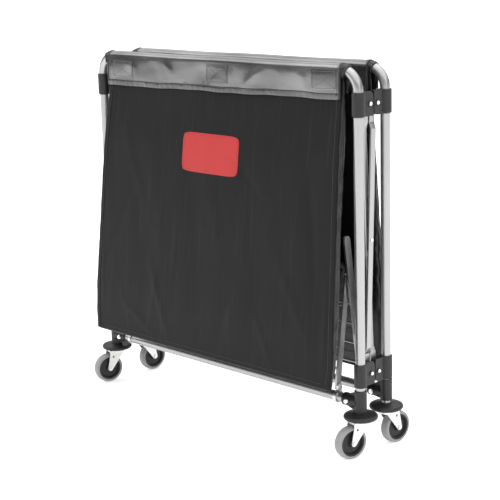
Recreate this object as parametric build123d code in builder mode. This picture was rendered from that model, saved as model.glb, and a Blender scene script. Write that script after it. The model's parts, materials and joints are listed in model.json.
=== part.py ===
from build123d import *
import os
from math import acos, asin, cos, degrees, radians, sin, sqrt

# Folding linen trolley, shown folded. Two bent-tube frames stand face to face, joined at each end by a
# crossed pair of bars that slide up the uprights as the frames are pulled apart. A vinyl bag hangs from the
# two top rails over a wire platform that folds upwards in the middle.
# Millimetres. +Z up, floor at z = 0, +X along the rails, the front frame on the -Y side.

os.makedirs("parts", exist_ok=True)

FRONT, BACK = -1, 1

# ---- frames -------------------------------------------------------------------------------------
UPRIGHT_X = 415.0            # upright axis, each side of the middle
FOLDED_DEPTH = 89.5          # between the two frames' planes, folded
FRAME_Y = FOLDED_DEPTH / 2
OPEN_DEPTH = 535.0           # the same distance, open
TUBE_R = 11.0
TUBE_WALL = 1.5
BEND_R = 45.0                # centreline radius of the top corners
RAIL_Z = 851.0               # top rail axis
LOWER_RAIL_Z = 124.0
LOWER_RAIL_END_X = 398.0
SNUG = 0.05                  # radial clearance of a fixed fit
RUNNING = 0.08               # radial clearance of a turning fit
APART = 0.3                  # gap between curved faces of two moving pieces

# ---- crossed bars -------------------------------------------------------------------------------
PIVOT_INSET = 32.3           # pivot axis, inwards of the upright axis
PIVOT_Y = FRAME_Y - PIVOT_INSET
TOP_PIVOT_Z = 779.0
LOW_PIVOT_Z = 184.0
CENTRE_PIVOT_Z = (TOP_PIVOT_Z + LOW_PIVOT_Z) / 2
BAR_LENGTH = sqrt((TOP_PIVOT_Z - LOW_PIVOT_Z) ** 2 + (2 * PIVOT_Y) ** 2)
BAR_LEAN = degrees(asin(2 * PIVOT_Y / BAR_LENGTH))
BAR_OPEN_LEAN = degrees(asin((OPEN_DEPTH - 2 * PIVOT_INSET) / BAR_LENGTH))
FOLD_TRAVEL = BAR_OPEN_LEAN - BAR_LEAN
BAR_THICK, BAR_WIDE = 7.0, 16.0
TAB_THICK, TAB_WIDE = 3.2, 17.0
TAB_LENGTH = 42.0            # flat end, from its pivot
JOG_LENGTH = 14.0            # between flat end and oval middle
INNER_BAR_X, OUTER_BAR_X, TAB_X = 399.5, 409.0, 404.2
RIVET_R, RIVET_HEAD_R, RIVET_HEAD_H = 3.0, 4.5, 2.2

# ---- plastic fittings ---------------------------------------------------------------------------
SLEEVE_R = 14.2
LUG_INNER_X, LUG_OUTER_X = 406.5, 420.5
LUG_REACH = PIVOT_INSET + 10.9
TOP_BRACKET_Z = (753.0, 805.5)
SLIDER_Z = (159.0, 212.0)
BOSS_R, BOSS_H = 7.2, 1.2
SOCKET_R = 13.8
CUP_R, CUP_START_X = 14.5, 371.0
SOCKET_TOP_Z = {FRONT: 152.0, BACK: 157.5}
SOCKET_FOOT_Z = {FRONT: 102.0, BACK: 107.5}
SOCKET_FLOOR = 10.0
RAIL_BOLT_X = 386.0
BOLT_R = 3.0

# ---- bumper discs and casters -------------------------------------------------------------------
DISC_R, DISC_Z, DISC_THICK = 38.5, 86.6, 12.0
DISC_CROWN_Z = 101.6
WHEEL_R, WHEEL_WIDE, HUB_R, HUB_WIDE = 37.5, 22.0, 30.0, 19.0
TRAIL = 28.0
STEM_R, STEM_HEAD_R = 5.0, 8.0
STEM_Z = (72.4, 140.0)
RACE_Z = (76.8, 84.0)
FORK_WALL = 2.5
AXLE_R = 4.0
SWIVEL = {FRONT: -15.3, BACK: 172.6}       # rest angle about the stem, 0 trailing towards -Y

# ---- wire platform ------------------------------------------------------------------------------
PLATFORM_PIVOT_Y = 36.75
PLATFORM_PIVOT_Z = 143.0
PLATFORM_SPAN = OPEN_DEPTH / 2 - (FRAME_Y - PLATFORM_PIVOT_Y)
PLATFORM_LEAN = degrees(asin(PLATFORM_PIVOT_Y / PLATFORM_SPAN))
PLATFORM_STOP = 85.0         # how far the back half's bars reach past the middle
PLATFORM_BAR_X = {FRONT: 342.0, BACK: 350.0}
PLATFORM_BAR_WIDE = {FRONT: 15.0, BACK: 19.0}
PLATFORM_BAR_THICK = 5.0
WIRE_R = 2.5
WIRE_PITCH = 48.0
WIRE_COUNT = 4

# ---- bag ----------------------------------------------------------------------------------------
CUFF_HALF = 375.0
CUFF_GAP, CUFF_THICK = 0.3, 1.7
CUFF_OUTER_Z, CUFF_INNER_Z = 783.0, 800.0
PANEL_LEAN = {-1: 6.15, 1: 2.0}  # degrees outwards, folded: the front side bulges, the back hangs flat
PANEL_FROM, PANEL_LENGTH = 14.0, 684.0     # along the panel, from the rail axis
PANEL_HALF_TOP, PANEL_HALF_FOOT = 375.0, 394.0
PANEL_THICK = 3.0
BOTTOM_LENGTH, BOTTOM_HALF, BOTTOM_THICK = 262.0, 330.0, 2.5
BOTTOM_START = 14.0          # where a bottom half begins, from its fold line at the panel's foot
GUSSET_FROM, GUSSET_TO = 70.0, 654.0
GUSSET_WIDE, GUSSET_THICK, GUSSET_OFFSET = 258.0, 2.0, 3.6
GUSSET_EDGE = 4.0            # fold line, inwards of the panel's side edge


def across(x):
    """The plane facing +X at x, with its own x along Y and its own y along Z."""
    return Plane(origin=(x, 0, 0), x_dir=(0, 1, 0), z_dir=(1, 0, 0))


def along(y):
    """The plane facing -Y at y, with its own x along X and its own y along Z."""
    return Plane(origin=(0, y, 0), x_dir=(1, 0, 0), z_dir=(0, -1, 0))


def level(z):
    return Plane.XY.offset(z)


def side_name(side):
    return "front" if side == FRONT else "back"


def keep(piece, node):
    """Label a finished piece and write it as its own STEP file."""
    piece.label = node
    export_step(piece, f"parts/{node}.step")


# ---- one frame: tube, lower rail, sockets, brackets, discs, stems and hardware -----------------------

def make_tube(side):
    """The bent tube: two uprights and the top rail in one piece."""
    y = side * FRAME_Y
    foot = SOCKET_FOOT_Z[side] + SOCKET_FLOOR
    with BuildPart() as tube:
        with BuildLine(along(y)):
            FilletPolyline(
                (UPRIGHT_X, foot), (UPRIGHT_X, RAIL_Z), (-UPRIGHT_X, RAIL_Z), (-UPRIGHT_X, foot),
                radius=BEND_R,
            )
        with BuildSketch(Plane(origin=(UPRIGHT_X, y, foot))):
            Circle(TUBE_R)
            Circle(TUBE_R - TUBE_WALL, mode=Mode.SUBTRACT)
        sweep()
    return tube.part


def make_lower_rail(side):
    """The straight lower rail, drilled at each end for its bolt."""
    y = side * FRAME_Y
    with BuildPart() as rail:
        with BuildSketch(across(-LOWER_RAIL_END_X)):
            with Locations((y, LOWER_RAIL_Z)):
                Circle(TUBE_R)
                Circle(TUBE_R - TUBE_WALL, mode=Mode.SUBTRACT)
        extrude(amount=2 * LOWER_RAIL_END_X)
        with Locations((-RAIL_BOLT_X, y, LOWER_RAIL_Z), (RAIL_BOLT_X, y, LOWER_RAIL_Z)):
            Cylinder(BOLT_R + SNUG, 3 * TUBE_R, rotation=(90, 0, 0), mode=Mode.SUBTRACT)
    return rail.part


def make_sockets(side):
    """The pair of moulded corner sockets: upright above, lower rail inboard, caster stem below."""
    y = side * FRAME_Y
    foot, top = SOCKET_FOOT_Z[side], SOCKET_TOP_Z[side]
    tube_bore, stem_bore = TUBE_R + SNUG, STEM_R + SNUG
    with BuildPart() as socket:
        with BuildSketch(level(foot)):
            with Locations((UPRIGHT_X, y)):
                Circle(SOCKET_R)
        extrude(amount=top - foot)
        chamfer(socket.edges().sort_by(Axis.Z)[-1], 0.9)
        with BuildSketch(across(CUP_START_X)):
            with Locations((y, LOWER_RAIL_Z)):
                Circle(CUP_R)
        extrude(amount=UPRIGHT_X - CUP_START_X - 4)
        with BuildSketch(along(y)) as web:
            with BuildLine():
                Polyline(
                    (CUP_START_X + 6, LOWER_RAIL_Z - CUP_R + 2),
                    (UPRIGHT_X - 10, foot + 0.5),
                    (UPRIGHT_X - 4, foot + 0.5),
                    (UPRIGHT_X - 4, top - 6),
                    (UPRIGHT_X - 12, top - 6),
                    (CUP_START_X + 8, LOWER_RAIL_Z + CUP_R - 2),
                    close=True,
                )
            make_face()
        extrude(amount=5, both=True)
        with Locations((UPRIGHT_X, y, foot + SOCKET_FLOOR)):
            Cylinder(tube_bore, top, align=(Align.CENTER, Align.CENTER, Align.MIN), mode=Mode.SUBTRACT)
        with Locations((UPRIGHT_X, y, foot)):
            Cylinder(stem_bore, 3 * SOCKET_FLOOR, mode=Mode.SUBTRACT)
        with Locations((LOWER_RAIL_END_X + 0.5, y, LOWER_RAIL_Z)):
            Cylinder(
                tube_bore, 60, rotation=(0, -90, 0),
                align=(Align.CENTER, Align.CENTER, Align.MIN), mode=Mode.SUBTRACT,
            )
        with Locations((RAIL_BOLT_X, y, LOWER_RAIL_Z)):
            Cylinder(BOLT_R + SNUG, 4 * CUP_R, rotation=(90, 0, 0), mode=Mode.SUBTRACT)
        mirror(about=Plane.YZ)
    return socket.part


def make_sleeved_lugs(side, z_range, pivot_z, bore):
    """A pair of sleeves round the uprights, each with a flat lug that carries a pivot."""
    y = side * FRAME_Y
    low, high = z_range
    tall = high - low
    lug_end = y - side * LUG_REACH
    with BuildPart() as bracket:
        with BuildSketch(level(low)):
            with Locations((UPRIGHT_X, y)):
                Circle(SLEEVE_R)
        extrude(amount=tall)
        chamfer(bracket.edges().group_by(Axis.Z)[0], 2.4)
        chamfer(bracket.edges().group_by(Axis.Z)[-1], 0.8)
        with BuildSketch(across(LUG_INNER_X)) as lug:
            with Locations(((y + lug_end) / 2, (low + high) / 2)):
                Rectangle(LUG_REACH, tall)
            far_corners = lug.vertices().group_by(Axis.Y)[0 if side == BACK else -1]
            fillet(far_corners, 13.0)
        extrude(amount=LUG_OUTER_X - LUG_INNER_X)
        with BuildSketch(across(LUG_OUTER_X)):
            with Locations((side * PIVOT_Y, pivot_z)):
                Circle(BOSS_R)
        extrude(amount=BOSS_H)
        with BuildSketch(across(LUG_OUTER_X)) as bead:
            with Locations((y - side * (SLEEVE_R + 1.2), (low + high) / 2)):
                RectangleRounded(2.4, tall - 6, 1.0)
            with Locations((y - side * (SLEEVE_R + 4.5), pivot_z)):
                Rectangle(8, 1.6)
        extrude(amount=0.9)
        with Locations((UPRIGHT_X, y, low)):
            Cylinder(bore, 3 * tall, mode=Mode.SUBTRACT)
        with Locations((UPRIGHT_X, side * PIVOT_Y, pivot_z)):
            Cylinder(RIVET_R + RUNNING, 60, rotation=(0, 90, 0), mode=Mode.SUBTRACT)
        mirror(about=Plane.YZ)
    return bracket.part


def make_bumpers(side):
    """The pair of domed bumper discs between the sockets and the casters."""
    with BuildPart() as bumper:
        with BuildSketch(along(side * FRAME_Y)):
            with BuildLine():
                crown = Line((STEM_R + SNUG, DISC_CROWN_Z), (SOCKET_R + 1, DISC_CROWN_Z))
                slope = Line(crown @ 1, (DISC_R - 5, DISC_Z + DISC_THICK - 1))
                rim_low = (DISC_R - 5, DISC_Z)
                ThreePointArc(slope @ 1, (DISC_R, DISC_Z + DISC_THICK / 2), rim_low)
                Polyline(rim_low, (STEM_R + SNUG, DISC_Z), crown @ 0)
            make_face()
        revolve(axis=Axis((0, side * FRAME_Y, 0), (0, 0, 1)))
    with BuildPart() as discs:
        add(bumper.part.moved(Location((UPRIGHT_X, 0, 0))))
        mirror(about=Plane.YZ)
    return discs.part


def make_stems(side):
    """The pair of caster stems: riveted head below, race washer, and the pin up into the socket."""
    with BuildPart() as stem:
        with BuildSketch(along(side * FRAME_Y)):
            with BuildLine():
                Polyline(
                    (0, STEM_Z[0]), (STEM_HEAD_R - 1, STEM_Z[0]), (STEM_HEAD_R, STEM_Z[0] + 1.2),
                    (STEM_HEAD_R, RACE_Z[0] - 0.4), (STEM_R, RACE_Z[0] - 0.4),
                    (STEM_R, RACE_Z[1] + 0.4), (15, RACE_Z[1] + 0.4), (15, DISC_Z),
                    (STEM_R, DISC_Z), (STEM_R, STEM_Z[1] - 2), (STEM_R - 1.5, STEM_Z[1]), (0, STEM_Z[1]),
                    close=True,
                )
            make_face()
        revolve(axis=Axis((0, side * FRAME_Y, 0), (0, 0, 1)))
        if SOCKET_FOOT_Z[side] - DISC_CROWN_Z > 1:
            with Locations((0, side * FRAME_Y, DISC_CROWN_Z)):
                Cylinder(
                    10.5, SOCKET_FOOT_Z[side] - DISC_CROWN_Z,
                    align=(Align.CENTER, Align.CENTER, Align.MIN),
                )
    with BuildPart() as stems:
        add(stem.part.moved(Location((UPRIGHT_X, 0, 0))))
        mirror(about=Plane.YZ)
    return stems.part


def make_rail_bolts(side):
    """Domed bolts through the cups and lower rail, each with its hexagon nut on the inner side."""
    y = side * FRAME_Y
    inside, outside = y - side * CUP_R, y + side * CUP_R
    with BuildPart() as bolts:
        for x in (-RAIL_BOLT_X, RAIL_BOLT_X):
            out = Plane(origin=(x, outside, LOWER_RAIL_Z), z_dir=(0, side, 0))
            with BuildSketch(out):
                Circle(6.0)
            extrude(amount=2.0)
            with BuildSketch(out.offset(2.0)):
                Circle(6.0)
            extrude(amount=2.0, taper=35)
            with BuildSketch(out):
                Circle(BOLT_R)
            extrude(amount=-(2 * CUP_R + 6.5))
    with BuildPart() as nuts:
        for x in (-RAIL_BOLT_X, RAIL_BOLT_X):
            with BuildSketch(Plane(origin=(x, inside, LOWER_RAIL_Z), z_dir=(0, -side, 0))):
                RegularPolygon(6.0, 6)
                Circle(BOLT_R + SNUG, mode=Mode.SUBTRACT)
            extrude(amount=5.0)
    return Compound(children=[*bolts.part.solids(), *nuts.part.solids()])


def make_platform_brackets(side):
    """The pair of rings on the lower rail, each with the ear that carries one platform bar."""
    y = side * FRAME_Y
    inner_x = PLATFORM_BAR_X[side] + PLATFORM_BAR_THICK / 2 + 0.6
    with BuildPart() as ring:
        with BuildSketch(across(inner_x)):
            with Locations((y, LOWER_RAIL_Z)):
                Circle(TUBE_R + 3)
        extrude(amount=9)
        with BuildSketch(across(inner_x)):
            with BuildLine():
                Polyline(
                    (y, LOWER_RAIL_Z + 4), (y - side * 12, LOWER_RAIL_Z + 4),
                    (side * (PLATFORM_PIVOT_Y - 7), PLATFORM_PIVOT_Z - 2),
                    (side * (PLATFORM_PIVOT_Y - 7), PLATFORM_PIVOT_Z + 4),
                    (side * (PLATFORM_PIVOT_Y - 3), PLATFORM_PIVOT_Z + 8),
                    (side * (PLATFORM_PIVOT_Y + 3), PLATFORM_PIVOT_Z + 8),
                    (side * (PLATFORM_PIVOT_Y + 7), PLATFORM_PIVOT_Z + 4),
                    close=True,
                )
            make_face()
        extrude(amount=4)
        with Locations((inner_x, y, LOWER_RAIL_Z)):
            Cylinder(TUBE_R + SNUG, 40, rotation=(0, 90, 0), mode=Mode.SUBTRACT)
        with Locations((inner_x, side * PLATFORM_PIVOT_Y, PLATFORM_PIVOT_Z)):
            Cylinder(WIRE_R + RUNNING, 40, rotation=(0, 90, 0), mode=Mode.SUBTRACT)
        mirror(about=Plane.YZ)
    return ring.part


def make_cuff(side):
    """The bag's top hem, wrapped over the rail with a deep flap outside and a short one inside."""
    y = side * FRAME_Y
    inner, outer = TUBE_R + CUFF_GAP, TUBE_R + CUFF_GAP + CUFF_THICK
    with BuildPart() as cuff:
        with BuildSketch(across(-CUFF_HALF)):
            with Locations((y, RAIL_Z)):
                Circle(outer)
            with Locations((y + side * outer / 2, (RAIL_Z + CUFF_OUTER_Z) / 2)):
                Rectangle(outer, RAIL_Z - CUFF_OUTER_Z)
            with Locations((y - side * outer / 2, (RAIL_Z + CUFF_INNER_Z) / 2)):
                Rectangle(outer, RAIL_Z - CUFF_INNER_Z)
            with Locations((y, RAIL_Z)):
                Circle(inner, mode=Mode.SUBTRACT)
            with Locations((y, (RAIL_Z + CUFF_OUTER_Z - 20) / 2)):
                Rectangle(2 * inner, RAIL_Z - CUFF_OUTER_Z + 20, mode=Mode.SUBTRACT)
        extrude(amount=2 * CUFF_HALF)
    return cuff.part


for side in (FRONT, BACK):
    name = side_name(side)
    keep(make_tube(side), f"{name}_tube")
    keep(make_lower_rail(side), f"{name}_lower_rail")
    keep(make_sockets(side), f"{name}_sockets")
    keep(make_sleeved_lugs(side, TOP_BRACKET_Z, TOP_PIVOT_Z, TUBE_R + SNUG), f"{name}_top_brackets")
    keep(make_sleeved_lugs(side, SLIDER_Z, LOW_PIVOT_Z, TUBE_R + APART), f"{name}_sliders")
    keep(make_bumpers(side), f"{name}_bumpers")
    keep(make_stems(side), f"{name}_caster_stems")
    keep(make_rail_bolts(side), f"{name}_rail_bolts")
    keep(make_platform_brackets(side), f"{name}_platform_brackets")
    keep(make_cuff(side), f"{name}_cuff")


# ---- crossed bars and their rivets -----------------------------------------------------------------

def make_bar(middle_x, lean):
    """One crossed bar: an oval middle, jogged and flattened at both ends for the pivots."""
    flat_from = BAR_LENGTH / 2 - TAB_LENGTH
    middle_to = flat_from - JOG_LENGTH
    with BuildPart() as bar:
        with BuildSketch(level(-middle_to)):
            with Locations((middle_x, 0)):
                RectangleRounded(BAR_THICK, BAR_WIDE, 3.2)
        extrude(amount=2 * middle_to)
        for end in (-1, 1):
            with BuildSketch(level(end * middle_to)):
                with Locations((middle_x, 0)):
                    RectangleRounded(BAR_THICK, BAR_WIDE, 3.2)
            with BuildSketch(level(end * flat_from)):
                with Locations((TAB_X, 0)):
                    RectangleRounded(TAB_THICK, TAB_WIDE, 1.2)
            loft()
            with BuildSketch(across(TAB_X - TAB_THICK / 2)):
                with Locations((0, end * (flat_from + TAB_LENGTH / 2))):
                    Rectangle(TAB_WIDE, TAB_LENGTH)
                with Locations((0, end * BAR_LENGTH / 2)):
                    Circle(TAB_WIDE / 2)
            extrude(amount=TAB_THICK)
        with Locations((TAB_X, 0, -BAR_LENGTH / 2), (TAB_X, 0, BAR_LENGTH / 2), (middle_x, 0, 0)):
            Cylinder(RIVET_R + RUNNING, 3 * BAR_THICK, rotation=(0, 90, 0), mode=Mode.SUBTRACT)
    return bar.part.moved(Location((0, 0, CENTRE_PIVOT_Z), (lean, 0, 0)))


def make_rivet(y, z, inner_x, outer_x):
    """A domed rivet along X, with a head just clear of the work at each end."""
    with BuildPart() as rivet:
        with BuildSketch(across(inner_x - 0.5)):
            with Locations((y, z)):
                Circle(RIVET_R)
        extrude(amount=outer_x - inner_x + 1)
        for x, out in ((outer_x, 1), (inner_x, -1)):
            with BuildSketch(Plane(origin=(x, y, z), z_dir=(out, 0, 0))):
                Circle(RIVET_HEAD_R)
            extrude(amount=RIVET_HEAD_H * 0.45)
            with BuildSketch(Plane(origin=(x + out * RIVET_HEAD_H * 0.45, y, z), z_dir=(out, 0, 0))):
                Circle(RIVET_HEAD_R)
            extrude(amount=RIVET_HEAD_H * 0.55, taper=50)
    return rivet.part


def both_ends(pieces):
    """The pieces of the right-hand end together with their mirror images at the left-hand end."""
    return Compound(children=[*pieces, *[mirror(piece, about=Plane.YZ) for piece in pieces]])


lug_rivet_x = (TAB_X - TAB_THICK / 2 - 0.3, LUG_OUTER_X + BOSS_H + 0.3)
centre_rivet_x = (INNER_BAR_X - BAR_THICK / 2 - 0.1, OUTER_BAR_X + BAR_THICK / 2 + 0.3)

inner_bar = make_bar(INNER_BAR_X, BAR_LEAN)
outer_bar = make_bar(OUTER_BAR_X, -BAR_LEAN)
keep(inner_bar, "inner_cross_bar_right")
keep(mirror(inner_bar, about=Plane.YZ), "inner_cross_bar_left")
keep(outer_bar, "outer_cross_bar_right")
keep(mirror(outer_bar, about=Plane.YZ), "outer_cross_bar_left")
keep(
    both_ends([
        make_rivet(-PIVOT_Y, TOP_PIVOT_Z, *lug_rivet_x),
        make_rivet(PIVOT_Y, LOW_PIVOT_Z, *lug_rivet_x),
        make_rivet(0, CENTRE_PIVOT_Z, *centre_rivet_x),
    ]),
    "inner_bar_rivets",
)
keep(
    both_ends([
        make_rivet(PIVOT_Y, TOP_PIVOT_Z, *lug_rivet_x),
        make_rivet(-PIVOT_Y, LOW_PIVOT_Z, *lug_rivet_x),
    ]),
    "outer_bar_rivets",
)

STOP_PLATE_DROP = 32.0
with BuildPart() as stop_plates:
    plate_z = CENTRE_PIVOT_Z - STOP_PLATE_DROP
    with BuildSketch(across(INNER_BAR_X - BAR_THICK / 2 - 2.6)):
        with Locations((STOP_PLATE_DROP * sin(radians(BAR_LEAN)), plate_z)):
            RectangleRounded(36, 12, 2)
    extrude(amount=2.5)
    mirror(about=Plane.YZ)
keep(stop_plates.part, "stop_plates")


# ---- wire platform ---------------------------------------------------------------------------------

def lean_platform(part, side):
    """Move a half built upright over the origin to its pivot, leaning in over the middle."""
    return part.moved(Location((0, side * PLATFORM_PIVOT_Y, PLATFORM_PIVOT_Z), (side * PLATFORM_LEAN, 0, 0)))


def make_platform_bars(side):
    """The two flat side bars of one half, from the rail ear to the middle, or past it at the back."""
    reach = PLATFORM_SPAN - 3 if side == FRONT else PLATFORM_SPAN + PLATFORM_STOP
    wide = PLATFORM_BAR_WIDE[side]
    inner_x = PLATFORM_BAR_X[side] - PLATFORM_BAR_THICK / 2
    with BuildPart() as bars:
        with BuildSketch(across(inner_x)):
            with Locations((0, reach / 2)):
                SlotCenterToCenter(reach - wide / 2, wide, rotation=90)
        extrude(amount=PLATFORM_BAR_THICK)
        with Locations((inner_x, 0, wide / 4)):
            Cylinder(WIRE_R + RUNNING, 40, rotation=(0, 90, 0), mode=Mode.SUBTRACT)
        mirror(about=Plane.YZ)
    return lean_platform(bars.part.moved(Location((0, 0, -wide / 4))), side)


def make_platform_wires(side):
    """The cross wires of one half, welded between its side bars."""
    length = 2 * PLATFORM_BAR_X[side] - PLATFORM_BAR_THICK
    with BuildPart() as wires:
        for row in range(WIRE_COUNT):
            with Locations((0, 0, 40 + row * WIRE_PITCH)):
                Cylinder(WIRE_R, length, rotation=(0, 90, 0))
    return lean_platform(wires.part, side)


def make_platform_pins(side):
    """The pins that hinge one half's side bars on their rail ears."""
    inner_x = PLATFORM_BAR_X[side] - PLATFORM_BAR_THICK / 2
    with BuildPart() as pins:
        with BuildSketch(across(inner_x - 2.3)):
            with Locations((side * PLATFORM_PIVOT_Y, PLATFORM_PIVOT_Z)):
                Circle(4.2)
        extrude(amount=2.0)
        with BuildSketch(across(inner_x - 1)):
            with Locations((side * PLATFORM_PIVOT_Y, PLATFORM_PIVOT_Z)):
                Circle(WIRE_R)
        extrude(amount=PLATFORM_BAR_THICK + 8)
        mirror(about=Plane.YZ)
    return pins.part


for side in (FRONT, BACK):
    name = side_name(side)
    keep(make_platform_bars(side), f"{name}_platform_bars")
    keep(make_platform_wires(side), f"{name}_platform_wires")
    keep(make_platform_pins(side), f"{name}_platform_pins")


# ---- bag -------------------------------------------------------------------------------------------

def panel_plane(side):
    """The plane of a hanging panel: its x along X, its y up along the panel, its z outwards of the bag."""
    lean = radians(PANEL_LEAN[side])
    return Plane(
        origin=(0, side * FRAME_Y, RAIL_Z),
        x_dir=(-side, 0, 0),
        z_dir=(0, side * cos(lean), sin(lean)),
    )


def panel_half(distance):
    """Half the panel's width at a distance below the rail axis."""
    share = (distance - PANEL_FROM) / (PANEL_LENGTH - PANEL_FROM)
    return PANEL_HALF_TOP + share * (PANEL_HALF_FOOT - PANEL_HALF_TOP)


def make_panel(side):
    """One hanging side of the bag, as a plain closed slab."""
    plane = panel_plane(side)
    with BuildPart() as panel:
        with BuildSketch(plane):
            with BuildLine():
                Polyline(
                    (-PANEL_HALF_TOP, -PANEL_FROM), (PANEL_HALF_TOP, -PANEL_FROM),
                    (PANEL_HALF_FOOT, -PANEL_LENGTH), (-PANEL_HALF_FOOT, -PANEL_LENGTH),
                    close=True,
                )
            make_face()
        extrude(amount=PANEL_THICK / 2, both=True)
    return panel.part


def panel_foot(side):
    """Where a panel's lower edge stands when folded, as y and z."""
    lean = radians(PANEL_LEAN[side])
    return side * (FRAME_Y + PANEL_LENGTH * sin(lean)), RAIL_Z - PANEL_LENGTH * cos(lean)


def bottom_rise(side):
    """How steeply a bottom half stands when folded, in degrees; its free end stops short of the middle."""
    foot_y, foot_z = panel_foot(side)
    return degrees(acos((abs(foot_y) - 1.5) / BOTTOM_LENGTH))


def make_bottom(side):
    """One half of the bag's bottom, folded up from the panel's lower edge to the middle."""
    foot_y, foot_z = panel_foot(side)
    rise = radians(bottom_rise(side))
    plane = Plane(
        origin=(0, foot_y, foot_z),
        x_dir=(1, 0, 0),
        z_dir=(0, side * sin(rise), cos(rise)),
    )
    with BuildPart() as bottom:
        with BuildSketch(plane):
            with Locations((0, -side * (BOTTOM_LENGTH + BOTTOM_START) / 2)):
                Rectangle(2 * BOTTOM_HALF, BOTTOM_LENGTH - BOTTOM_START)
        extrude(amount=BOTTOM_THICK / 2, both=True)
    return bottom.part


def make_gusset(side, hand):
    """One leaf of an end gusset, folded flat against the inside of its panel."""
    fold_top = (hand * (panel_half(GUSSET_FROM) - GUSSET_EDGE), -GUSSET_FROM)
    fold_foot = (hand * (panel_half(GUSSET_TO) - GUSSET_EDGE), -GUSSET_TO)
    with BuildPart() as gusset:
        with BuildSketch(panel_plane(side).offset(-GUSSET_OFFSET)):
            with BuildLine():
                Polyline(
                    fold_top, fold_foot,
                    (fold_foot[0] - hand * GUSSET_WIDE, fold_foot[1]),
                    (fold_top[0] - hand * GUSSET_WIDE, fold_top[1]),
                    close=True,
                )
            make_face()
        extrude(amount=GUSSET_THICK / 2, both=True)
    return gusset.part


for side in (FRONT, BACK):
    name = side_name(side)
    keep(make_panel(side), f"bag_{name}_panel")
    keep(make_bottom(side), f"bag_{name}_bottom")
    for hand in (-1, 1):
        end = "right" if (hand > 0) == (side == FRONT) else "left"
        keep(make_gusset(side, hand), f"bag_{name}_{end}_gusset")


# ---- casters, built at the origin trailing towards -Y, then set under each corner --------------------

def make_fork():
    """The pressed fork: race on top, two tapering legs, and a boss for the axle at each foot."""
    leg_x = WHEEL_WIDE / 2 + 1.6
    with BuildPart() as fork:
        with BuildSketch(level(RACE_Z[0])):
            Circle(18)
        extrude(amount=RACE_Z[1] - RACE_Z[0])
        with BuildSketch(level(RACE_Z[1] - 4)):
            with Locations((0, -7.75)):
                RectangleRounded(2 * (leg_x + FORK_WALL), 35.5, 3)
        extrude(amount=3.5)
        with BuildSketch(across(leg_x)) as leg:
            with BuildLine():
                Polyline(
                    (-25.5, RACE_Z[1] - 0.5), (10, RACE_Z[1] - 0.5), (10, RACE_Z[1] - 8),
                    (-22.2, WHEEL_R - 3.2), (-34.3, WHEEL_R + 1.5),
                    close=True,
                )
            make_face()
            with Locations((-TRAIL, WHEEL_R)):
                Circle(6.5)
            with Locations((-18.5, 68)):
                Rectangle(4.5, 5.5, mode=Mode.SUBTRACT)
        extrude(amount=FORK_WALL)
        mirror(about=Plane.YZ)
        Cylinder(STEM_R + APART, 400, mode=Mode.SUBTRACT)
        with Locations((0, -TRAIL, WHEEL_R)):
            Cylinder(AXLE_R + SNUG, 60, rotation=(0, 90, 0), mode=Mode.SUBTRACT)
    return fork.part


def make_axle():
    """The axle bolt, with a low round head outside each leg."""
    reach = WHEEL_WIDE / 2 + 1.6 + FORK_WALL + 0.05
    with BuildPart() as axle:
        with Locations((0, -TRAIL, WHEEL_R)):
            Cylinder(AXLE_R, 2 * reach + 1, rotation=(0, 90, 0))
        for out in (-1, 1):
            with BuildSketch(Plane(origin=(out * reach, -TRAIL, WHEEL_R), z_dir=(out, 0, 0))):
                Circle(5.2)
            extrude(amount=1.6, taper=20)
    return axle.part


def make_hub():
    """The wheel's moulded core: a rim for the tyre, a dished web and a boss on the axle."""
    half, boss_half, web_half = HUB_WIDE / 2, WHEEL_WIDE / 2 + 0.6, 4.0
    with BuildPart() as hub:
        with BuildSketch(Plane.XY):
            with BuildLine():
                Polyline(
                    (-boss_half, AXLE_R + RUNNING), (-boss_half, 8.5), (-web_half - 2, 10.5),
                    (-web_half - 1, 24.0), (-half, 26.0), (-half, HUB_R), (half, HUB_R), (half, 26.0),
                    (web_half + 1, 24.0), (web_half + 2, 10.5), (boss_half, 8.5),
                    (boss_half, AXLE_R + RUNNING),
                    close=True,
                )
            make_face()
        revolve(axis=Axis.X)
    return hub.part.moved(Location((0, -TRAIL, WHEEL_R)))


def make_tyre():
    """The grey tyre, with a softly crowned tread and rounded shoulders."""
    half, shoulder = WHEEL_WIDE / 2, 34.0
    with BuildPart() as tyre:
        with BuildSketch(Plane.XY):
            with BuildLine():
                Polyline((-half + 2, shoulder + 2), (-half, shoulder - 1), (-half, HUB_R),
                         (half, HUB_R), (half, shoulder - 1), (half - 2, shoulder + 2))
                ThreePointArc((half - 2, shoulder + 2), (0, WHEEL_R), (-half + 2, shoulder + 2))
            make_face()
        revolve(axis=Axis.X)
    return tyre.part.moved(Location((0, -TRAIL, WHEEL_R)))


caster_pieces = {"fork": make_fork(), "axle": make_axle(), "hub": make_hub(), "tyre": make_tyre()}
for side in (FRONT, BACK):
    for hand, end in ((-1, "left"), (1, "right")):
        place = Location((hand * UPRIGHT_X, side * FRAME_Y, 0), (0, 0, SWIVEL[side]))
        for kind, piece in caster_pieces.items():
            keep(piece.moved(place), f"{side_name(side)}_{end}_caster_{kind}")
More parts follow.
